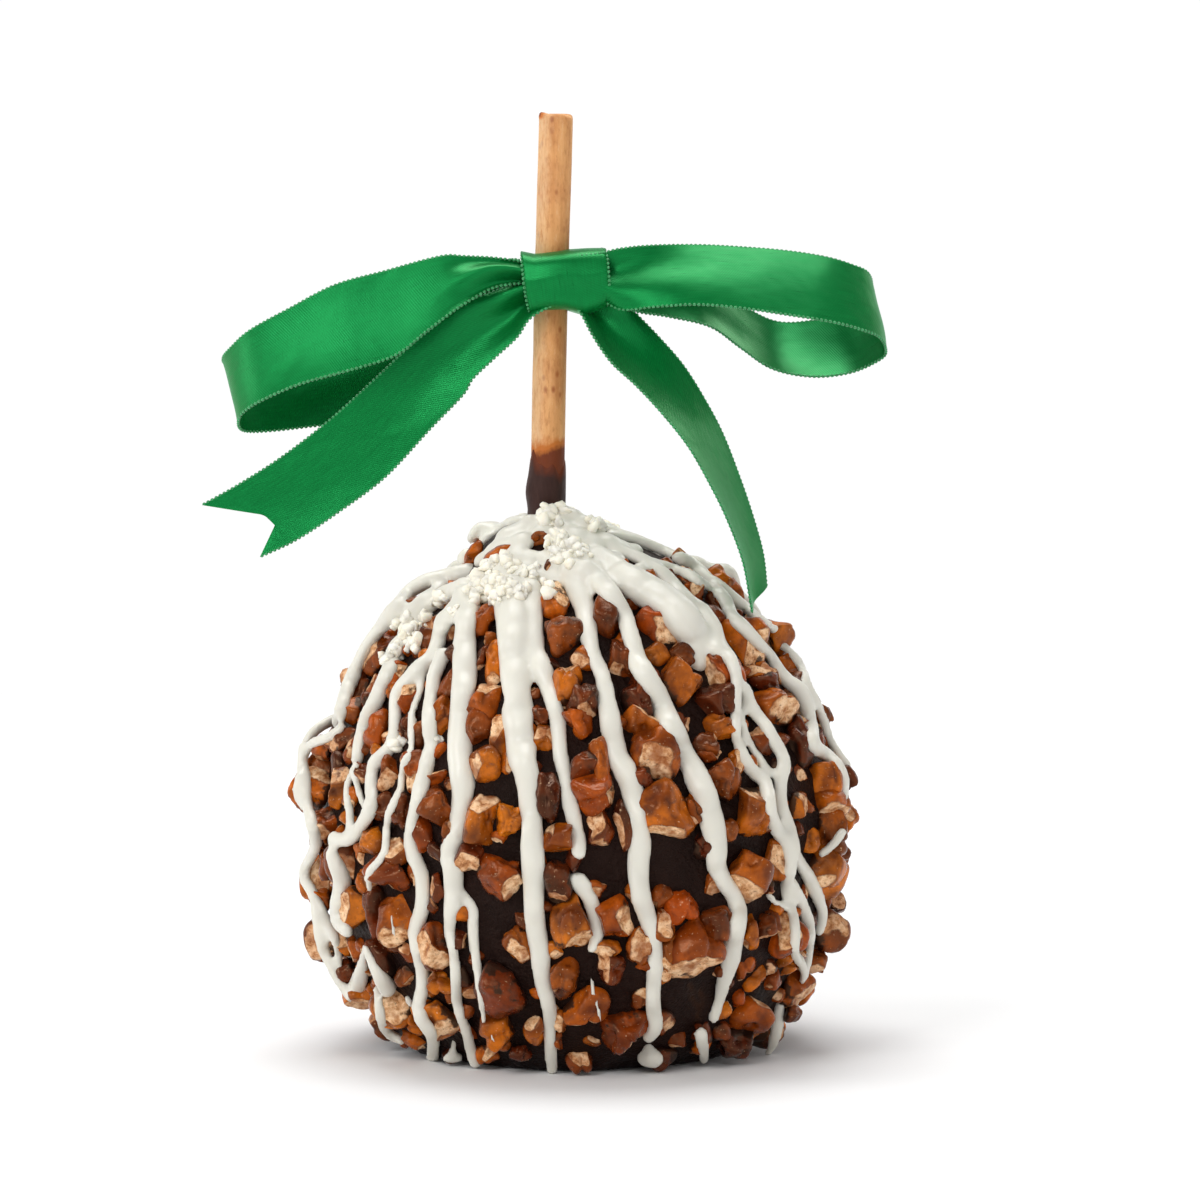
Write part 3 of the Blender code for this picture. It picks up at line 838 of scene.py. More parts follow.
STREAMS = [  # (points of the middle), (widths along it)
 ([(469,573),(445,578),(428,582),(411,591),(392,614),(366,649),(351,681),(344,700),(340,717),(338,722)], (20,20,17,15,15)),
 ([(338,718),(326,724),(315,731),(308,741),(304,749),(302,760)], (13,12,11)),
 ([(341,728),(334,735),(326,739),(315,742),(309,747),(305,756)], (11,10,9)),
 ([(304,748),(303,765),(305,791),(309,811),(314,829),(317,842),(313,855),(305,868),(304,880),(312,890),(318,906),(321,925),(323,939)], (13,14,12,14)),
 ([(300,776),(298,791),(304,806)], (9,13,9)),
 ([(315,906),(319,932),(323,948),(331,964),(336,976),(345,989),(350,997)], (11,12,10)),
 ([(321,905),(324,913),(328,925),(335,937),(338,951),(340,966)], (9,9,7)),
 ([(378,989),(379,1008),(384,1028),(392,1036),(401,1039)], (9,11,11)),
 ([(366,948),(364,962),(361,975),(359,985)], (7,13,19)),
 ([(366,948),(372,962),(380,976),(387,988)], (7,13,19)),
 ([(333,855),(338,868),(344,878),(341,893),(337,908),(338,921),(347,929)], (15,19,18,16)),
 ([(418,631),(401,643),(394,654),(390,671),(384,681),(382,688),(377,700),(369,713),(364,726),(359,745),(358,760)], (17,18,17,15,14)),
 ([(356,766),(350,778),(346,791),(350,811),(350,834)], (8,8,9)),
 ([(356,776),(359,791),(365,807)], (8,8,6)),
 ([(443,621),(439,643),(433,659),(420,667),(409,679),(400,688),(396,698),(396,713),(395,732),(392,747),(384,755),(375,762),(373,769),(372,785),(373,797),(370,811),(361,827),(354,837),(345,842),(335,839)], (17,15,14,14,15,14)),
 ([(423,668),(421,688),(418,698),(412,713),(412,732),(412,749),(408,757),(403,765),(402,788),(395,801),(388,816),(387,836),(386,852),(377,864),(369,871),(368,880),(370,888)], (9,8,8,9,8)),
 ([(443,655),(434,675),(432,694),(429,713),(430,732),(433,747),(429,755),(425,772),(420,791),(415,810),(411,829),(411,842),(415,859),(422,874),(424,893),(422,912),(415,932),(418,951),(423,970),(423,989),(419,1005),(421,1019),(429,1029),(434,1040),(433,1057)], (16,15,15,14,15,16,14,13)),
 ([(466,598),(467,624),(465,650),(465,675),(463,700),(461,726),(460,759),(464,791),(461,811),(459,832),(452,842),(449,855),(453,868),(454,887),(454,905)], (26,24,22,25,20,18,20,18)),
 ([(451,900),(450,932),(454,951),(456,976),(456,996),(460,1015),(466,1028),(470,1044),(475,1062)], (14,11,11,11)),
 ([(460,890),(469,900),(474,910),(473,925),(474,941),(477,964),(480,989),(483,1012),(484,1021)], (9,11,10,8,5)),
 ([(510,592),(513,620),(514,650),(515,675),(518,710),(523,759),(527,770),(531,791),(532,816),(532,842),(534,868),(534,893),(535,919),(538,939),(540,951),(542,976),(547,999),(550,1015),(550,1034),(551,1053),(552,1069)], (34,33,30,26,21,22,22,19,16,13,10)),
 ([(530,592),(531,620),(532,645),(534,664)], (26,24,24)),
 ([(500,592),(504,615),(508,640)], (18,16,14)),
 ([(534,650),(541,664),(546,681),(552,698),(558,719),(559,739),(561,759),(566,778),(570,804),(575,823),(579,840),(579,853)], (20,17,15,14,16,13)),
 ([(574,880),(582,887),(591,900),(596,918),(597,938),(593,948)], (14,15,14,14,11)),
 ([(578,880),(585,886)], (18,14)),
 ([(591,980),(594,996),(598,1010),(601,1020)], (4,4,3)),
 ([(491,1034),(493,1042)], (4,3)),
 ([(391,916),(394,935)], (4,3)),
 ([(572,570),(578,592),(586,611),(588,636),(593,656),(602,675),(607,700),(611,726),(617,759),(624,768),(631,785),(636,804),(638,823),(640,842),(638,861),(638,880),(641,899),(647,916),(654,938),(655,957),(654,979),(652,996),(653,1008),(656,1021),(655,1030),(649,1036)], (24,19,16,21,24,22,20,17,15,15,14)),
 ([(585,572),(597,580),(612,596),(625,617),(632,643),(638,664),(645,674),(656,692),(664,713),(674,732),(684,756),(692,768),(700,785),(707,797),(709,812),(713,829),(716,848),(715,866),(723,882),(733,895),(739,914),(735,931),(731,946),(730,960),(725,975),(722,989),(718,1002),(714,1017)], (24,19,19,22,22,25,22,18,22,15,10)),
 ([(624,578),(640,590),(657,600),(674,612),(688,628),(694,645),(697,660)], (34,42,44,42,36,26)),
 ([(680,600),(700,612),(712,630),(716,650)], (22,24,22,18)),
 ([(716,640),(724,652),(731,660),(737,677),(736,702),(735,721),(736,740),(744,759),(752,771),(765,781),(768,797),(770,812),(776,831),(787,844),(791,856),(790,869),(787,882),(786,894)], (18,13,12,13,14,13,12)),
 ([(741,705),(741,721),(744,734),(751,747),(759,759),(767,772)], (9,9,10)),
 ([(737,683),(746,689),(748,702),(756,715),(767,728),(773,740),(781,753),(785,766),(780,779),(779,799),(782,812),(787,825),(792,840),(794,852)], (12,13,13,14,14)),
 ([(794,852),(799,863),(808,876),(817,895),(823,914),(819,931)], (13,13,14,10)),
 ([(790,884),(799,899),(807,918),(810,933),(808,955),(804,977)], (13,13,12,8)),
 ([(792,910),(796,933),(794,952),(800,964)], (10,11,7)),
 ([(768,894),(774,902),(782,906),(791,909)], (6,6,8)),
 ([(700,575),(714,588),(725,600),(731,617),(744,628),(756,641),(769,655),(778,671),(788,682),(801,690),(806,702),(808,715),(811,728),(812,746),(823,753),(837,764),(844,779),(843,797)], (16,15,13,14,13,15,14,12)),
 ([(842,832),(834,844),(822,854)], (9,9,7)),
 ([(715,583),(735,600),(750,613),(763,622),(774,629)], (13,12,10)),
 ([(783,646),(797,660),(804,674),(808,690),(815,699),(824,721),(828,738),(837,753),(847,766)], (9,10,10,9)),
 ([(799,958),(804,971),(802,982)], (10,10,7)),
 ([(779,1006),(777,1028),(773,1044),(768,1052)], (12,11,9)),
 ([(701,1034),(703,1047),(704,1060)], (13,10,8)),
 ([(648,1046),(650,1056)], (9,16)),
 ([(647,1058),(655,1059)], (17,17)),
 ([(454,1040),(453,1050),(452,1058)], (5,7,11)),
 ([(448,1058),(458,1058)], (9,9)),
 ([(408,998),(411,1005)], (8,6)),
 ([(612,536),(632,540),(648,545),(664,552),(684,560),(700,572),(716,588)], (16,15,14,15,14)),
 ([(605,545),(625,553),(645,562),(662,575),(676,590),(690,606)], (18,15,15,17,18)),
 ([(600,556),(615,566),(632,580),(645,596)], (20,20,22)),
 ([(640,560),(664,566),(688,574),(706,586)], (11,11,10)),
 ([(470,586),(450,592),(430,604),(415,618),(404,634)], (20,17,16,14)),
 ([(478,598),(462,604),(450,614),(443,628)], (22,20,18)),
 ([(440,588),(424,598),(408,612)], (13,12,10)),
]

# the pool round the stick, drawn as daubs: u, v, across
DAUBS = """
540 520 22; 552 514 22; 565 514 20; 575 522 24; 588 530 24; 560 528 30; 545 534 24; 530 526 20; 518 532 22; 508 538 22
575 540 30; 592 545 28; 608 546 24; 560 548 28; 523 545 24; 507 552 26; 494 552 18; 516 562 28; 498 566 26; 484 562 18
530 560 20; 545 560 18; 560 566 26; 578 560 30; 596 562 30; 614 562 22; 506 580 32; 524 580 30; 488 580 28; 474 582 22
540 578 18; 556 580 20; 572 576 26; 590 574 28; 606 574 20; 622 584 18; 466 592 24; 482 594 20; 500 594 24; 518 596 26
534 596 20; 455 598 20; 620 548 18; 634 552 16; 640 572 16; 610 590 14
"""

PILE = """
552 512 18 2.2; 545 520 20 2.6; 562 510 16 2.2; 572 516 20 3.0; 584 524 22 2.6; 536 524 18 2.0; 560 524 26 3.4; 575 532 26 2.8
590 534 22 2.0; 548 534 22 1.8; 530 520 16 1.6; 524 534 20 1.2; 602 540 22 1.4; 512 548 24 1.0; 570 545 26 1.8; 586 550 26 1.4
"""
shapes = Heap()
stream_seed = 1
for points, widths in STREAMS:
    v, f = pour(points, widths, stream_seed)
    shapes.add(v, f, k=0)
    stream_seed += 1
for row in DAUBS.replace("\n", ";").split(";"):
    row = row.split()
    if not row:
        continue
    u, v, w = (float(x) for x in row)
    l, nn, t = surface(u, v, CORE)
    nn = np.array(nn)
    r = 0.5 * w * UNIT * 1.15
    z = nn / np.linalg.norm(nn)
    x = np.cross(z, [0.3, 0.2, 0.9]); x /= np.linalg.norm(x)
    y = np.cross(z, x)
    D3, F3 = ico(3)
    thick = r * 0.55 * (1 + 0.25 * math.sin(u * 1.7 + v))
    vv = np.outer(D3[:, 0] * r, x) + np.outer(D3[:, 1] * r, y) + np.outer(D3[:, 2] * thick, z)
    shapes.add(vv + np.array(l) + z * 0.0006, F3, k=0)
for row in PILE.replace("\n", ";").split(";"):
    row = row.split()
    if not row:
        continue
    u, v, w, up = (float(x) for x in row)
    r = 0.5 * w * UNIT * 1.1
    c = np.array(at_depth(u, v, (-4.2 - 0.10 * (v - 505)) * MM))
    for k, (r_, z_) in enumerate(((1.0, 0.0), (1.15, -up * 0.9), (1.25, -up * 1.9))):
        shapes.add(D3 * [r * r_, r * r_ * 0.9, r * 0.75] + c + [0, 0, z_ * MM], F3, k=0)


# the sides and back: streams that start at the pool and run down the coat
def on_coat(az, polar):
    s = math.sin(polar)
    d = Vector((s * math.cos(az), s * math.sin(az), math.cos(polar)))
    o = Vector((0, 0, CZ * MM)) + d * 0.09
    loc, nor, _, _ = ALL.ray_cast(o, -d)
    return loc, nor


rng = random.Random(9)
back = Heap()
az = math.radians(18)
k = 0
while az < math.radians(165):
    width = rng.choice((2.0, 2.4, 2.8, 3.4, 4.2)) * MM
    end = math.radians(rng.choice((95, 112, 124, 134, 138)))
    path, normals, rad = [], [], []
    a = az + rng.uniform(-0.05, 0.05)
    ph, ph2 = rng.uniform(0, 6), rng.uniform(0, 6)
    start = math.radians(rng.uniform(12, 24))
    n = int((end - start) / 0.017)
    for i in range(n):
        pol = start + (end - start) * i / (n - 1)
        wig = 0.035 * math.sin(pol * 9 + ph) + 0.022 * math.sin(pol * 21 + ph2)
        loc, nor = on_coat(a + wig, pol)
        if loc is None:
            continue
        path.append(np.array(loc))
        normals.append(np.array(nor))
        taper = 1.35 - 0.75 * (i / n) + 0.16 * math.sin(pol * 13 + ph)
        rad.append(0.5 * width * taper)
    path, normals, rad = np.array(path), np.array(normals), np.array(rad)
    # bridge the hollows between the nuts
    cen = np.array([0, 0, CZ * MM])
    dist = np.linalg.norm(path - cen, axis=1)
    far = np.maximum.reduce([np.interp(np.arange(len(dist)) + s, np.arange(len(dist)), dist) for s in (-2, -1, 0, 1, 2)])
    sm = np.maximum(smooth1(0.5 * dist + 0.5 * far, 3), dist - 0.0003)
    path = cen + (path - cen) * (sm / dist)[:, None]
    for c in range(3):
        normals[:, c] = smooth1(normals[:, c], 4)
    normals /= np.linalg.norm(normals, axis=1)[:, None]
    v, f = tube(path + normals * (rad * 0.12)[:, None], normals, rad)
    back.add(v, f, k=0)
    if rng.random() < 0.45 and len(path) > 30:  # a side branch
        s0 = rng.randint(8, len(path) // 2)
        m = rng.randint(12, 26)
        turn = rng.choice((-1, 1)) * rng.uniform(0.05, 0.12)
        bp, bn, br = [], [], []
        pol0 = start + (end - start) * s0 / n
        for i in range(m):
            loc, nor = on_coat(a + turn * (1 - math.exp(-i / 7)) + 0.02 * math.sin(i * 0.5 + ph), pol0 + i * 0.02)
            bp.append(np.array(loc)); bn.append(np.array(nor)); br.append(0.5 * width * (0.75 - 0.3 * i / m))
        bp, bn = np.array(bp), np.array(bn)
        for c in range(3):
            bp[:, c] = smooth1(bp[:, c], 2)
            bn[:, c] = smooth1(bn[:, c], 3)
        bn /= np.linalg.norm(bn, axis=1)[:, None]
        v, f = tube(bp + bn * 0.0005, bn, np.array(br))
        back.add(v, f, k=0)
    az += math.radians(rng.uniform(5.5, 12.5))
    k += 1
# the pool goes right round the stick
for i in range(90):
    a = rng.uniform(0.0, math.pi)
    pol = math.radians(rng.uniform(5, 24 + 5 * math.sin(3 * a)))
    loc, nor = on_coat(a, pol)
    if loc is None:
        continue
    z = np.array(nor)
    x = np.cross(z, [0.3, 0.2, 0.9]); x /= np.linalg.norm(x)
    y = np.cross(z, x)
    r = rng.uniform(1.8, 3.0) * MM
    D3, F3 = ico(3)
    back.add(np.outer(D3[:, 0] * r, x) + np.outer(D3[:, 1] * r, y) + np.outer(D3[:, 2] * r * 0.5, z) + np.array(loc) + z * 0.0004, F3, k=0)

VOX = 0.00057
white = []
for nm, heap in (("drizzle_front", shapes), ("drizzle_back", back)):
    v, f, _ = heap.done()
    v, f = remesh(v, f, VOX, 5, 0.5)
    white.append(make(nm, v, f, M_WHITE))
    print(nm, len(f) * 2)

# ------------------------------------------- coarse cream flakes in the pool
WHITE_TREE = None


def both_trees():
    vs, fs, n = [core, nv], [F7, nf + len(core)], len(core) + len(nv)
    for ob in white:
        me = ob.data
        co = np.empty(len(me.vertices) * 3, np.float32)
        me.vertices.foreach_get("co", co)
        tri = np.array([[q.vertices[0], q.vertices[i], q.vertices[i + 1]] for q in me.polygons for i in range(1, len(q.vertices) - 1)])
        vs.append(co.reshape(-1, 3)); fs.append(tri + n); n += len(co) // 3
    return tree(np.concatenate(vs), np.concatenate(fs))


OUTER = both_trees()
CLUMPS = """
545 510 14 12; 552 520 14 12; 560 512 10 8; 594 524 10 8; 556 545 16 20; 566 552 16 20; 572 543 12 10; 585 552 10 8
500 570 20 26; 515 585 20 26; 485 575 16 18; 530 575 14 14; 496 592 16 14; 478 592 14 12; 545 590 8 6; 470 590 10 8
405 625 14 16; 412 640 12 12; 400 650 10 8; 425 620 10 8; 440 600 12 8; 440 740 5 4; 400 745 9 5; 388 655 8 5; 455 610 8 5
"""
flakes = Heap()
rng = random.Random(77)
D1, F1 = ico(1)


D2, F2 = ico(2)


def flake(loc, nor, size):
    ax = np.array([rng.uniform(0.7, 1.1), rng.uniform(0.5, 0.95), rng.uniform(0.4, 0.75)]) * size * 0.5
    k = rng.uniform(0, 900)
    p = D2 * ax * (1 + 0.42 * vnoise(D2 + k, 0.75, 7) + 0.16 * vnoise(D2 - k, 0.35, 8))[:, None]
    rot = np.array(Matrix.Rotation(rng.uniform(0, 6.28), 3, Vector((rng.uniform(-1, 1), rng.uniform(-1, 1), rng.uniform(-1, 1))).normalized()))
    p = p @ rot
    flakes.add(p + np.array(loc) + np.array(nor) * size * rng.uniform(-0.10, 0.18), F2, k=0)


for row in CLUMPS.replace("\n", ";").split(";"):
    row = row.split()
    if not row:
        continue
    u, v, w, cnt = (float(x) for x in row)
    for _ in range(int(cnt)):
        a, r = rng.uniform(0, 6.28), math.sqrt(rng.random()) * w * 0.75
        found = hit(OUTER, u + r * math.cos(a), v + r * math.sin(a))
        if found:
            flake(found[0], found[1], rng.choice((1.2, 1.6, 2.0, 2.6, 3.3)) * MM)
for _ in range(90):
    a, pol = rng.uniform(1.0, 2.4), math.radians(rng.uniform(9, 22))
    s = math.sin(pol)
    d = Vector((s * math.cos(a), s * math.sin(a), math.cos(pol)))
    loc, nor, _, _ = OUTER.ray_cast(Vector((0, 0, CZ * MM)) + d * 0.09, -d)
    if loc:
        flake(loc, nor, rng.choice((1.2, 1.6, 2.0, 2.6, 3.1)) * MM)
v, f, _ = flakes.done()
make("cream_flakes", v, f, M_CRYSTAL)
print("flakes", len(f))

# -------------------------------------------------------------------- stick
LEAN = math.radians(1.22)
TOP = Vector((-4.25, 0.0, 175.1)) * MM
AXIS = Vector((math.sin(LEAN), 0, math.cos(LEAN)))
R_STICK, L_STICK = 3.15, 139.7


def stick_point(depth):
    """The stick's middle, depth mm below its top; it has a slight bow."""
    t = depth / 75.0
    bend = 0.28 * math.sin(min(t, 1.2) * math.pi * 0.8) * MM
    return TOP - AXIS * (depth * MM) + Vector((-bend, 0, 0))


def lathe(rows, sides, wobble=0.0, seed=0):
    """rows: depth and radius in mm from the top; closed at both ends."""
    v, f = [], []
    for dpt, r in rows:
        c = np.array(stick_point(dpt))
        a = np.linspace(0, math.tau, sides, endpoint=False)
        ring = np.stack([np.cos(a), np.sin(a), 0 * a], 1)
        n = vnoise(np.concatenate([ring[:, :2] * 3, np.full((sides, 1), dpt * 0.35)], 1), 2.0, seed)
        v.append(c + ring * ((r + wobble * n) * MM)[:, None])
    m = len(rows)
    for i in range(m - 1):
        for k in range(sides):
            k2 = (k + 1) % sides
            a, b, c, d = i * sides + k, i * sides + k2, (i + 1) * sides + k2, (i + 1) * sides + k
            f += [(a, c, b), (a, d, c)]
    v = np.concatenate(v)
    n0 = len(v)
    v = np.concatenate([v, [np.array(stick_point(rows[0][0])), np.array(stick_point(rows[-1][0]))]])
    for k in range(sides):
        k2 = (k + 1) % sides
        f += [(n0, k, k2), (n0 + 1, (m - 1) * sides + k2, (m - 1) * sides + k)]
    return v, np.array(f)


rows = [(0.10, 0.8), (0.06, 1.6), (0.05, 2.3), (0.12, 2.72), (0.35, 3.0), (0.8, 3.12)]
rows += [(d, R_STICK) for d in np.arange(1.5, L_STICK - 1, 1.1)] + [(L_STICK - 0.4, 3.0), (L_STICK, 2.6)]
sv, sf = lathe(rows, 72, 0.045, 4)
# frayed lip at the left of its cut top, and a chip at the right
lip = np.exp(-(((sv[:, 0] - (TOP.x - 2.6 * MM)) / (0.9 * MM)) ** 2 + ((sv[:, 1] + 1.2 * MM) / (1.2 * MM)) ** 2)) * (sv[:, 2] > TOP.z - 1.3 * MM)
sv[:, 2] += 0.45 * MM * lip
sv[:, 0] -= 0.30 * MM * lip
chip = np.exp(-(((sv[:, 0] - (TOP.x + 2.4 * MM)) / (1.2 * MM)) ** 2 + ((sv[:, 1] + 1.5 * MM) / (1.5 * MM)) ** 2)) * (sv[:, 2] > TOP.z - 0.7 * MM)
sv[:, 2] -= 0.35 * MM * chip
Z_FILM = 111.0 * MM           # where the dark film on the stick begins
burn = np.clip((Z_FILM + 5.6 * MM - sv[:, 2]) / (5.4 * MM), 0, 1.2) + 0.25 * sstep(-0.001, 0.002, sv[:, 0] - TOP.x + 0.0015) * sstep(Z_FILM + 5 * MM, Z_FILM + 1 * MM, sv[:, 2])
burn = burn + 0.9 * lip
# painted highlight: the wood is made lighter on its left front side, where the key and left lamps light it
out = np.array([np.array(stick_point(max(0.0, (TOP.z - z) / MM / math.cos(LEAN)))) for z in sv[:, 2]])
out = (sv - out)[:, :2]
out /= np.linalg.norm(out, axis=1)[:, None] + 1e-9
bloom_and_painted_light = 0.72 * sstep(0.42, 1.0, out @ np.array([-0.92, -0.39]))
stick_ob = make("stick_detail", sv, sf, M_WOOD, {"burn": burn, "bloom_and_painted_light": bloom_and_painted_light})
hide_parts("stick")

# chocolate film that climbs the stick, with an uneven top edge
sides = 72
a = np.linspace(0, math.tau, sides, endpoint=False)
fv, ff, ft = [], [], []
top_z = 110.6 - 0.9 * np.cos(a) + 0.8 * np.sin(a * 2 + 1.0) + 0.7 * np.sin(a * 5 + 2) + 0.4 * np.sin(a * 9)
levels = 16
for j in range(levels + 1):
    t = j / levels
    for i in range(sides):
        z = top_z[i] * (1 - t) + 95.0 * t
        c = stick_point((TOP.z / MM - z) / math.cos(LEAN))
        bulge = 0.28 + 0.35 * math.exp(-((z - 104.5) / 3.0) ** 2) * (1 + 0.9 * math.cos(a[i] - math.pi * 0.97)) + 0.5 * sstep(102, 97, z) * 1.2
        r = R_STICK + bulge * min(1.0, t * 6 + 0.12)
        if j == 0:
            r = R_STICK - 0.25
        fv.append((c.x + math.cos(a[i]) * r * MM, c.y + math.sin(a[i]) * r * MM, z * MM))
        ft.append(max(0.0, 1 - t * 3.4))
for j in range(levels):
    for i in range(sides):
        i2 = (i + 1) % sides
        p, q, r_, s = j * sides + i, j * sides + i2, (j + 1) * sides + i2, (j + 1) * sides + i
        ff += [(p, r_, q), (p, s, r_)]
n0 = len(fv)
c_top, c_low = stick_point((TOP.z / MM - 109.0)), stick_point((TOP.z / MM - 95.0))
fv += [tuple(c_top), tuple(c_low)]
ft += [0, 0]
for i in range(sides):
    i2 = (i + 1) % sides
    ff += [(n0, i, i2), (n0 + 1, levels * sides + i2, levels * sides + i)]
make("stick_film", np.array(fv), np.array(ff), M_FILM, {"thin": ft})


# ------------------------------------------------------------------- ribbon
def catmull(points, n):
    P = np.array(points, float)
    m = len(P) - 1
    P = np.vstack([2 * P[0] - P[1], P, 2 * P[-1] - P[-2]])
    out = []
    for i in range(n):
        t = i / (n - 1) * m
        k = min(m - 1, int(t)); f = t - k
        p0, p1, p2, p3 = P[k], P[k + 1], P[k + 2], P[k + 3]
        out.append(0.5 * (2 * p1 + (p2 - p0) * f + (2 * p0 - 5 * p1 + 4 * p2 - p3) * f * f + (3 * p1 - p0 - 3 * p2 + p3) * f ** 3))
    return np.array(out)


def edges(stations):
    """World points of both edges from the layout: u, v and depth in mm."""
    a = [at_depth(s[0][0], s[0][1], s[0][2] * MM) for s in stations]
    b = [at_depth(s[1][0], s[1][1], s[1][2] * MM) for s in stations]
    return np.array([x[:] for x in a]), np.array([x[:] for x in b])


ACROSS = 17


def ribbon(name, stations, steps, crown=0.5, end_cut=None, rip=0.0, seed=0, width=16.0, pucker=0.8, loop=False):
    A, B = edges(stations)
    A, B = catmull(A, steps), catmull(B, steps)
    mid = (A + B) / 2
    along = np.gradient(mid, axis=0)
    along /= np.linalg.norm(along, axis=1)[:, None]
    wid = B - A
    nor = np.cross(wid, along)
    nor /= np.linalg.norm(nor, axis=1)[:, None]
    s = np.concatenate([[0], np.cumsum(np.linalg.norm(np.diff(mid, axis=0), axis=1))])
    V, UV = [], []
    for i in range(steps):
        wlen = np.linalg.norm(wid[i])
        fold = max(0.0, 1 - wlen / (width * MM))      # gathered: its folds stand up
        for k in range(ACROSS):
            t = k / (ACROSS - 1)
            p = A[i] + wid[i] * t
            bow = crown * MM * (1 - (2 * t - 1) ** 2)
            pleat = fold * 2.1 * MM * math.sin(t * math.pi * 2.6 + seed) * min(1.0, fold * 2)
            ripple = rip * MM * math.sin(s[i] / (9 * MM) + seed * 1.7 + 1.2 * t) * math.sin(math.pi * t + 0.4)
            tuck = pucker * MM * math.sin(math.tau * 1.15 * t + seed * 1.3) * (math.exp(-s[i] / (11 * MM)) + (math.exp(-(s[-1] - s[i]) / (11 * MM)) if loop else 0.0))
            V.append(p + nor[i] * (bow + pleat + ripple + tuck))
            UV.append((t * width, s[i] / MM))
    V, UV = np.array(V), np.array(UV)
    if end_cut:
        last = V.reshape(steps, ACROSS, 3)
        for k in range(ACROSS):
            t = k / (ACROSS - 1)
            back = end_cut(t) * MM
            m = 10
            for j in range(m):
                i = steps - 1 - j
                w = 1 - j / m
                last[i, k] -= along[i] * back * w
        V = last.reshape(-1, 3)
    th = 0.16 * MM
    N = np.repeat(nor, ACROSS, 0)
    top, low = V + N * th, V - N * th
    n = len(V)
    F = []
    for i in range(steps - 1):
        for k in range(ACROSS - 1):
            a, b, c, d = i * ACROSS + k, i * ACROSS + k + 1, (i + 1) * ACROSS + k + 1, (i + 1) * ACROSS + k
            F += [(a, b, c), (a, c, d), (n + a, n + c, n + b), (n + a, n + d, n + c)]
    def wall(a, b):
        F.extend([(a, n + a, n + b), (a, n + b, b)])
    for i in range(steps - 1):
        wall((i + 1) * ACROSS, i * ACROSS)
        wall(i * ACROSS + ACROSS - 1, (i + 1) * ACROSS + ACROSS - 1)
    for k in range(ACROSS - 1):
        wall(k, k + 1)
        wall((steps - 1) * ACROSS + k + 1, (steps - 1) * ACROSS + k)
    F = np.array(F)
    allv = np.concatenate([top, low])
    # turn every face outward if the strip was wound the other way
    a_, b_, c_ = allv[F[:, 0]], allv[F[:, 1]], allv[F[:, 2]]
    if (a_ * np.cross(b_, c_)).sum() < 0:
        F = F[:, ::-1]
    ob = make(name, allv, F, M_SATIN, uv=np.concatenate([UV, UV]))
    ob.data.set_sharp_from_angle(angle=math.radians(60))
    return ob, V.reshape(steps, ACROSS, 3), nor, s


LEFT_LOOP = [((566,266,-6.0),(566,292,-6.4)),((530,262,-5.5),(530,284,-6.2)),((510,257.5,-5.2),(512,283,-6.6)),((488,255,-5.0),(490,288,-7.6)),((462,255,-5.0),(463,304,-9.0)),((447,255,-5),(446,316,-9.8)),((425,260,-5.0),(424,333,-10.5)),((386,271,-5.0),(394,356,-11)),((335,285,-5),(345,371.5,-11)),((290,308,-4),(300,384,-10)),((250,330,-2),(262,400,-8.5)),((231,347,1.0),(243,412,-6)),((223,358,5),(237.5,423,-3)),((229,364,9.5),(243,431,1.5)),((262,360,12),(264,431.5,5)),((305,350,12.5),(305,427,6.5)),((350,338,12),(350,420,7)),((400,318,9.5),(400,398,6)),((450,290,6),(450,360,3.5)),((490,268,3),(490,322,1.5)),((516,260,0),(516,296,-1)),((530,262,-2),(530,292,-2)),((552,262,-3.8),(552,296,-3.9))]
RIGHT_LOOP = [((566,258,-5.6),(566,298,-6.4)),((600,254,-5),(600,300,-6.5)),((622,249,-4.5),(622,309,-8)),((655,246,-2.5),(655,306,-10)),((700,245.5,-0.5),(700,304,-11)),((745,248,0.5),(745,308,-11)),((790,252,1),(790,315,-10.5)),((828,258,1),(832,322,-9.5)),((853,265.5,2),(862,330,-7)),((867,272,4),(880,338,-3)),((872,284,8),(886,352,2.5)),((868,300,12.5),(878,361,5)),((848,312,17),(850,373,8)),((810,321,18.5),(812,377,8)),((775,321,19),(772,369,7.5)),((740,303,15),(740,348,5)),((705,278,10),(710,327,2)),((665,262,5),(668,317,0)),((635,256,1),(636,312,-2.5)),((600,256,-2),(600,301,-3)),((560,258,-3.9),(560,299,-4.2))]
LEFT_TAIL = [((540,280,-4),(552,306,-4.5)),((512,286,-4),(531,319,-5)),((488,294,-3.8),(518,337,-5)),((461,305,-3.5),(495,358,-5)),((434,327,-3.5),(473,379,-5.5)),((410,346,-4),(463,395,-6)),((374,380,-4.5),(430,429,-6)),((330,420,-5),(385,477,-7)),((282,457,-6),(337,513,-8)),((238,485,-7),(296,540,-9)),((202,505,-8),(260,557,-10))]
RIGHT_TAIL = [((565,296,-4.5),(603,290,-3)),((580,316,-6),(628,308,-2)),((592,337,-8),(641,320,-1.5)),((611,363,-10),(660,339,-1)),((636,386,-12),(683,365,-1)),((662,414,-14),(703,396,-1)),((688,447,-16),(722,432,-1.5)),((710,485,-18),(738,474,-3)),((728,521,-19),(751,513,-4)),((744,564,-20),(762,553,-6)),((752,613,-20.5),(766,587,-9))]


def notch(t):
    return 8.5 * max(0.0, 1 - abs(t - 0.62) / (0.62 if t < 0.62 else 0.38))


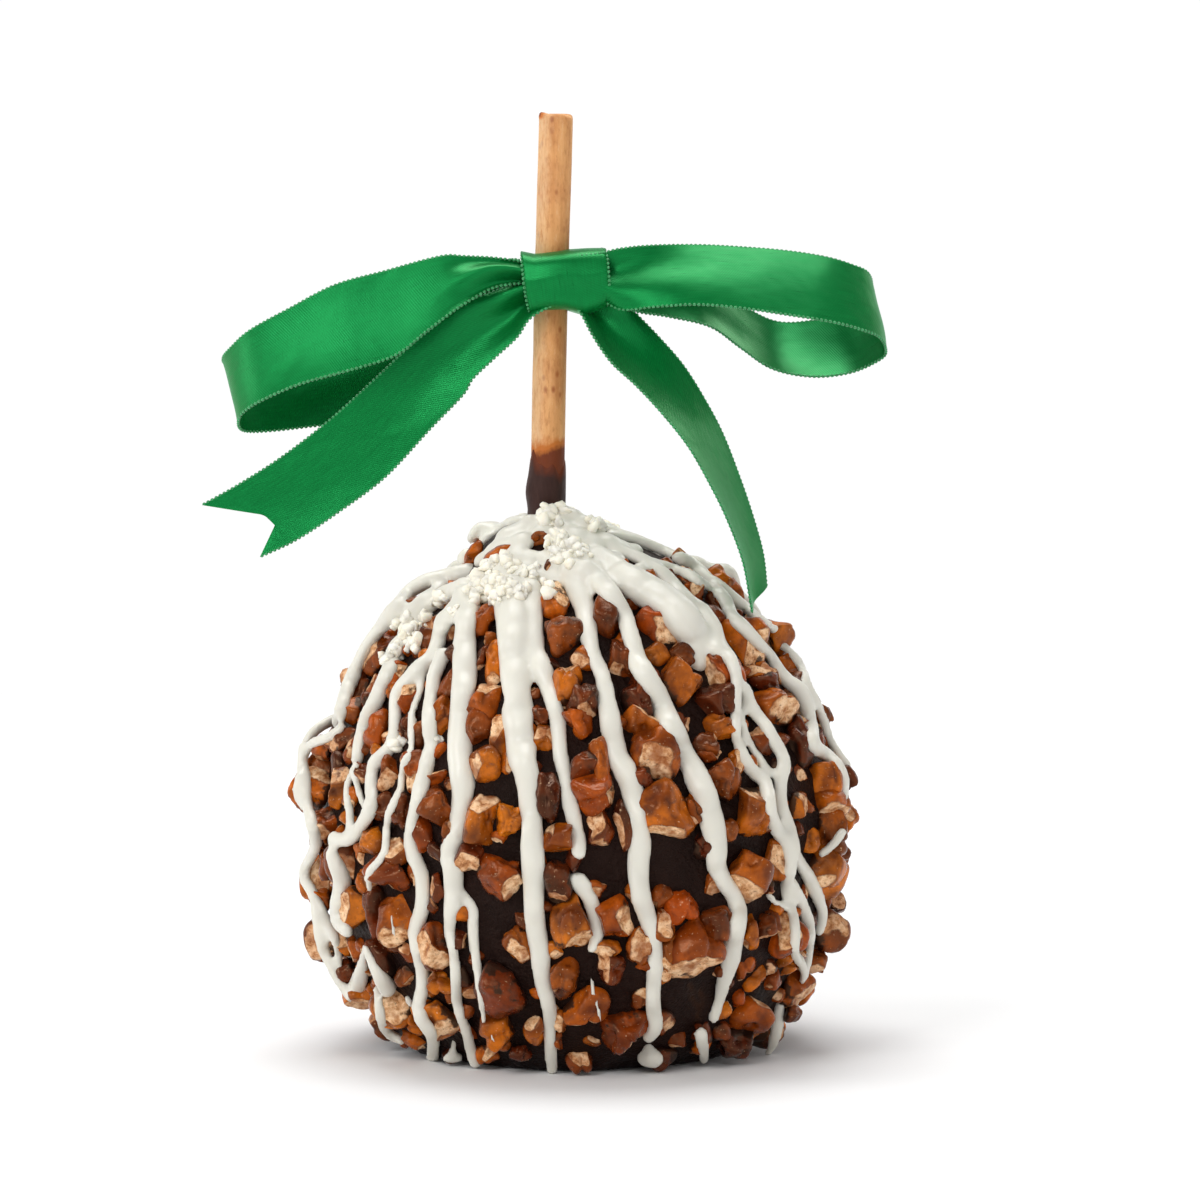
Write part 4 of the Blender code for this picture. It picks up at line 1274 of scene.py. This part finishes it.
strips = {}
strips["loop_left"] = ribbon("ribbon_loop_left", LEFT_LOOP, 170, crown=0.45, rip=0.25, seed=1, loop=True)
strips["loop_right"] = ribbon("ribbon_loop_right", RIGHT_LOOP, 170, crown=0.45, rip=0.25, seed=2, loop=True)
strips["tail_left"] = ribbon("ribbon_tail_left", LEFT_TAIL, 110, crown=0.4, pucker=1.3, end_cut=notch, rip=0.3, seed=3)
strips["tail_right"] = ribbon("ribbon_tail_right", RIGHT_TAIL, 110, crown=0.5, pucker=0.9, rip=0.3, seed=4)


# the knot: one turn of ribbon round the loops and the stick
K_LEFT = [(520.3, 252.6), (522.0, 266), (523.4, 279.5), (526, 297.6), (529.8, 316)]
K_RIGHT = [(606, 249.3), (607.8, 260), (608.8, 272), (609.5, 290), (607.5, 307.5)]
K_TOP = [(520.3, 252.6), (533.7, 255.2), (541, 254.2), (567, 250.8), (587.6, 249.6), (606, 249.3)]
K_LOW = [(529.8, 316), (537.5, 314.3), (545.2, 311), (557.3, 310.3), (567, 310.5), (574.8, 313), (585, 316), (596.6, 313.2), (607.5, 307.5)]


def along_line(pts, t):
    pts = np.array(pts, float)
    g = np.concatenate([[0], np.cumsum(np.linalg.norm(np.diff(pts, axis=0), axis=1))])
    return np.array([np.interp(t * g[-1], g, pts[:, 0]), np.interp(t * g[-1], g, pts[:, 1])])


K, NW = 96, 27
KV, KUV = [], []
run = 0.0
prev = None
for i in range(K + 1):
    a = math.tau * i / K + math.pi / 2          # starts and ends behind the stick
    sa, ca = math.sin(a), math.cos(a)
    y = -1.75 + 6.25 * math.copysign(abs(sa) ** 0.55, sa)
    hgt = math.copysign(abs(ca) ** 0.75, ca)    # -1 low edge, +1 top edge
    up = (hgt + 1) / 2
    front = sstep(2.0, -4.5, y)
    if prev is not None:
        run += math.hypot(y - prev[0], (up - prev[1]) * 11.4)
    prev = (y, up)
    for k in range(NW):
        t = k / (NW - 1)
        lo, hi, le, ri = along_line(K_LOW, t), along_line(K_TOP, t), along_line(K_LEFT, 1 - up), along_line(K_RIGHT, 1 - up)
        c00, c10, c01, c11 = np.array(K_LOW[0]), np.array(K_LOW[-1]), np.array(K_TOP[0]), np.array(K_TOP[-1])
        uv = lo * (1 - up) + hi * up + le * (1 - t) + ri * t - (c00 * (1 - t) * (1 - up) + c10 * t * (1 - up) + c01 * (1 - t) * up + c11 * t * up)
        q = at_depth(float(uv[0]), float(uv[1]), -6.5 * MM) / MM
        x, z = q[0], q[2]
        back_x = -3.4 + (2 * t - 1) * 7.3
        x = x * front + back_x * (1 - front)
        side = abs(2 * t - 1)
        swell = front * (0.75 * math.exp(-((x + 4.6) / 4.0) ** 2) + 0.30 * math.sin(2.6 * math.pi * up + 1.9 * t) * (1 - side) - 0.55 * side ** 5)
        swell += front * 0.62 * math.exp(-(((up - 0.56) * 11 - 0.8 * (t - 0.4)) / 1.5) ** 2)
        fold = (1 - front) * 0.35 * math.sin(t * math.pi * 5)
        KV.append((x, y - swell + fold, z))
        KUV.append((t * 16.0, run))
KV = np.array(KV) * MM
n = len(KV)
cx3 = np.array([-0.0035, -0.00175, 0.1439])
nrm = np.stack([0 * KV[:, 0], KV[:, 1] - cx3[1], KV[:, 2] - cx3[2]], 1)
nrm /= np.linalg.norm(nrm, axis=1)[:, None] + 1e-9
inner = KV - nrm * 0.4 * MM
F = []
for i in range(K):
    for k in range(NW - 1):
        a, b, c, d = i * NW + k, i * NW + k + 1, (i + 1) * NW + k + 1, (i + 1) * NW + k
        F += [(a, b, c), (a, c, d), (n + a, n + c, n + b), (n + a, n + d, n + c)]
for i in range(K):
    for k, flip in ((0, False), (NW - 1, True)):
        a, b = i * NW + k, (i + 1) * NW + k
        q = [(a, b, n + b), (a, n + b, n + a)]
        F += [t[::-1] for t in q] if flip else q
for i, flip in ((0, True), (K, False)):
    for k in range(NW - 1):
        a, b = i * NW + k, i * NW + k + 1
        q = [(a, b, n + b), (a, n + b, n + a)]
        F += [t[::-1] for t in q] if flip else q
F = np.array(F)
allk = np.concatenate([KV, inner])
a_, b_, c_ = allk[F[:, 0]], allk[F[:, 1]], allk[F[:, 2]]
if (a_ * np.cross(b_, c_)).sum() < 0:
    F = F[:, ::-1]
knot_ob = make("ribbon_knot", allk, F, M_SATIN, uv=np.concatenate([KUV, KUV]))
strips_knot = KV.reshape(K + 1, NW, 3)

# stitched edges: a row of small loops of thread down both sides of the ribbon
D1, F1 = ico(1)
beads = Heap()


def stitch(line, normal, pitch=0.85):
    seg = np.linalg.norm(np.diff(line, axis=0), axis=1)
    s = np.concatenate([[0], np.cumsum(seg)])
    n = int(s[-1] / (pitch * MM))
    for i in range(n):
        t = (i + 0.5) / n * s[-1]
        p = np.array([np.interp(t, s, line[:, k]) for k in range(3)])
        q = np.array([np.interp(min(t + 0.3 * MM, s[-1]), s, line[:, k]) for k in range(3)])
        d = q - p
        ln = np.linalg.norm(d)
        if ln < 1e-9:
            continue
        d /= ln
        nn = np.array([np.interp(t, s, normal[:, k]) for k in range(3)])
        nn /= np.linalg.norm(nn) + 1e-12
        x = np.cross(d, nn)
        V = np.outer(D1[:, 0] * 0.38 * MM, d) + np.outer(D1[:, 1] * 0.32 * MM, x) + np.outer(D1[:, 2] * 0.32 * MM, nn)
        beads.add(V + p, F1, k=0)


for nm, (ob, G, nor, s) in strips.items():
    stitch(G[:, 0], nor)
    stitch(G[:, -1], nor)
front_rows = slice(6, K - 5)
kn = np.repeat(np.array([[0, -1.0, 0]]), K + 1, 0)
stitch(strips_knot[:, 0], kn)
stitch(strips_knot[:, -1], kn)
v, f, _ = beads.done()
stitch_ob = make("ribbon_stitching", v, f, M_THREAD)


def strip_area(G):
    a = np.linalg.norm(np.diff(G, axis=0), axis=2).mean() * (len(G) - 1)
    return a


for nm, (ob, G, nor, s) in strips.items():
    w = np.linalg.norm(np.diff(G, axis=1), axis=2).sum(1)
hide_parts("ribbon_bow")

# ---------------------------------------------------------- floor and lights
me = bpy.data.meshes.new("floor")
ring = [(0.62 * math.cos(math.tau * i / 96), 0.62 * math.sin(math.tau * i / 96), 0) for i in range(96)]
me.from_pydata(ring, [], [tuple(range(96))])
floor = bpy.data.objects.new("floor", me)
bpy.context.scene.collection.objects.link(floor)
fm = bpy.data.materials.new("floor")
fm.use_nodes = True
fm.node_tree.nodes["Principled BSDF"].inputs["Base Color"].default_value = (0.86, 0.86, 0.86, 1)
fm.node_tree.nodes["Principled BSDF"].inputs["Roughness"].default_value = 0.95
fm.node_tree.nodes["Principled BSDF"].inputs["Specular IOR Level"].default_value = 0.1
me.materials.append(fm)


def area(name, loc, size, power, aim=(0, 0, 0.085), colour=(1, 1, 1)):
    d = bpy.data.lights.new(name, "AREA")
    d.shape = "RECTANGLE"
    d.size, d.size_y = size
    d.energy = power
    d.color = colour
    o = bpy.data.objects.new(name, d)
    bpy.context.scene.collection.objects.link(o)
    o.location = loc
    o.rotation_euler = (Vector(aim) - Vector(loc)).to_track_quat("-Z", "Y").to_euler()
    return o


area("top", (-0.1, 0.50, 1.75), (1.2, 1.2), 25.0, aim=(0, 0.05, 0))
area("key", (-0.95, -1.35, 1.15), (0.7, 0.7), 13.0)
area("front", (0.15, -1.60, 1.15), (0.35, 0.35), 2.6)
area("left", (-1.7, -0.1, 0.6), (0.5, 0.8), 6.0)
area("fill", (1.5, -0.9, 0.9), (0.8, 0.8), 1.6)
area("rim", (0.8, 1.2, 0.8), (0.7, 0.5), 2.5)

world = bpy.data.worlds.new("world")
bpy.context.scene.world = world
world.use_nodes = True
wt = world.node_tree
sep = wt.nodes.new("ShaderNodeSeparateXYZ")
wt.links.new(wt.nodes.new("ShaderNodeTexCoord").outputs["Generated"], sep.inputs[0])
sky = wt.nodes.new("ShaderNodeValToRGB")      # pale round the horizon, dimmer overhead
sky.color_ramp.elements[0].position, sky.color_ramp.elements[0].color = 0.06, (1.0, 1.0, 1.0, 1)
sky.color_ramp.elements[1].position, sky.color_ramp.elements[1].color = 0.40, (0.36, 0.36, 0.36, 1)
wt.links.new(sep.outputs[2], sky.inputs[0])
wt.links.new(sky.outputs[0], wt.nodes["Background"].inputs["Color"])
wt.nodes["Background"].inputs["Strength"].default_value = 1.02
bpy.context.scene.view_settings.view_transform = "Standard"
bpy.context.scene.view_settings.look = "None"
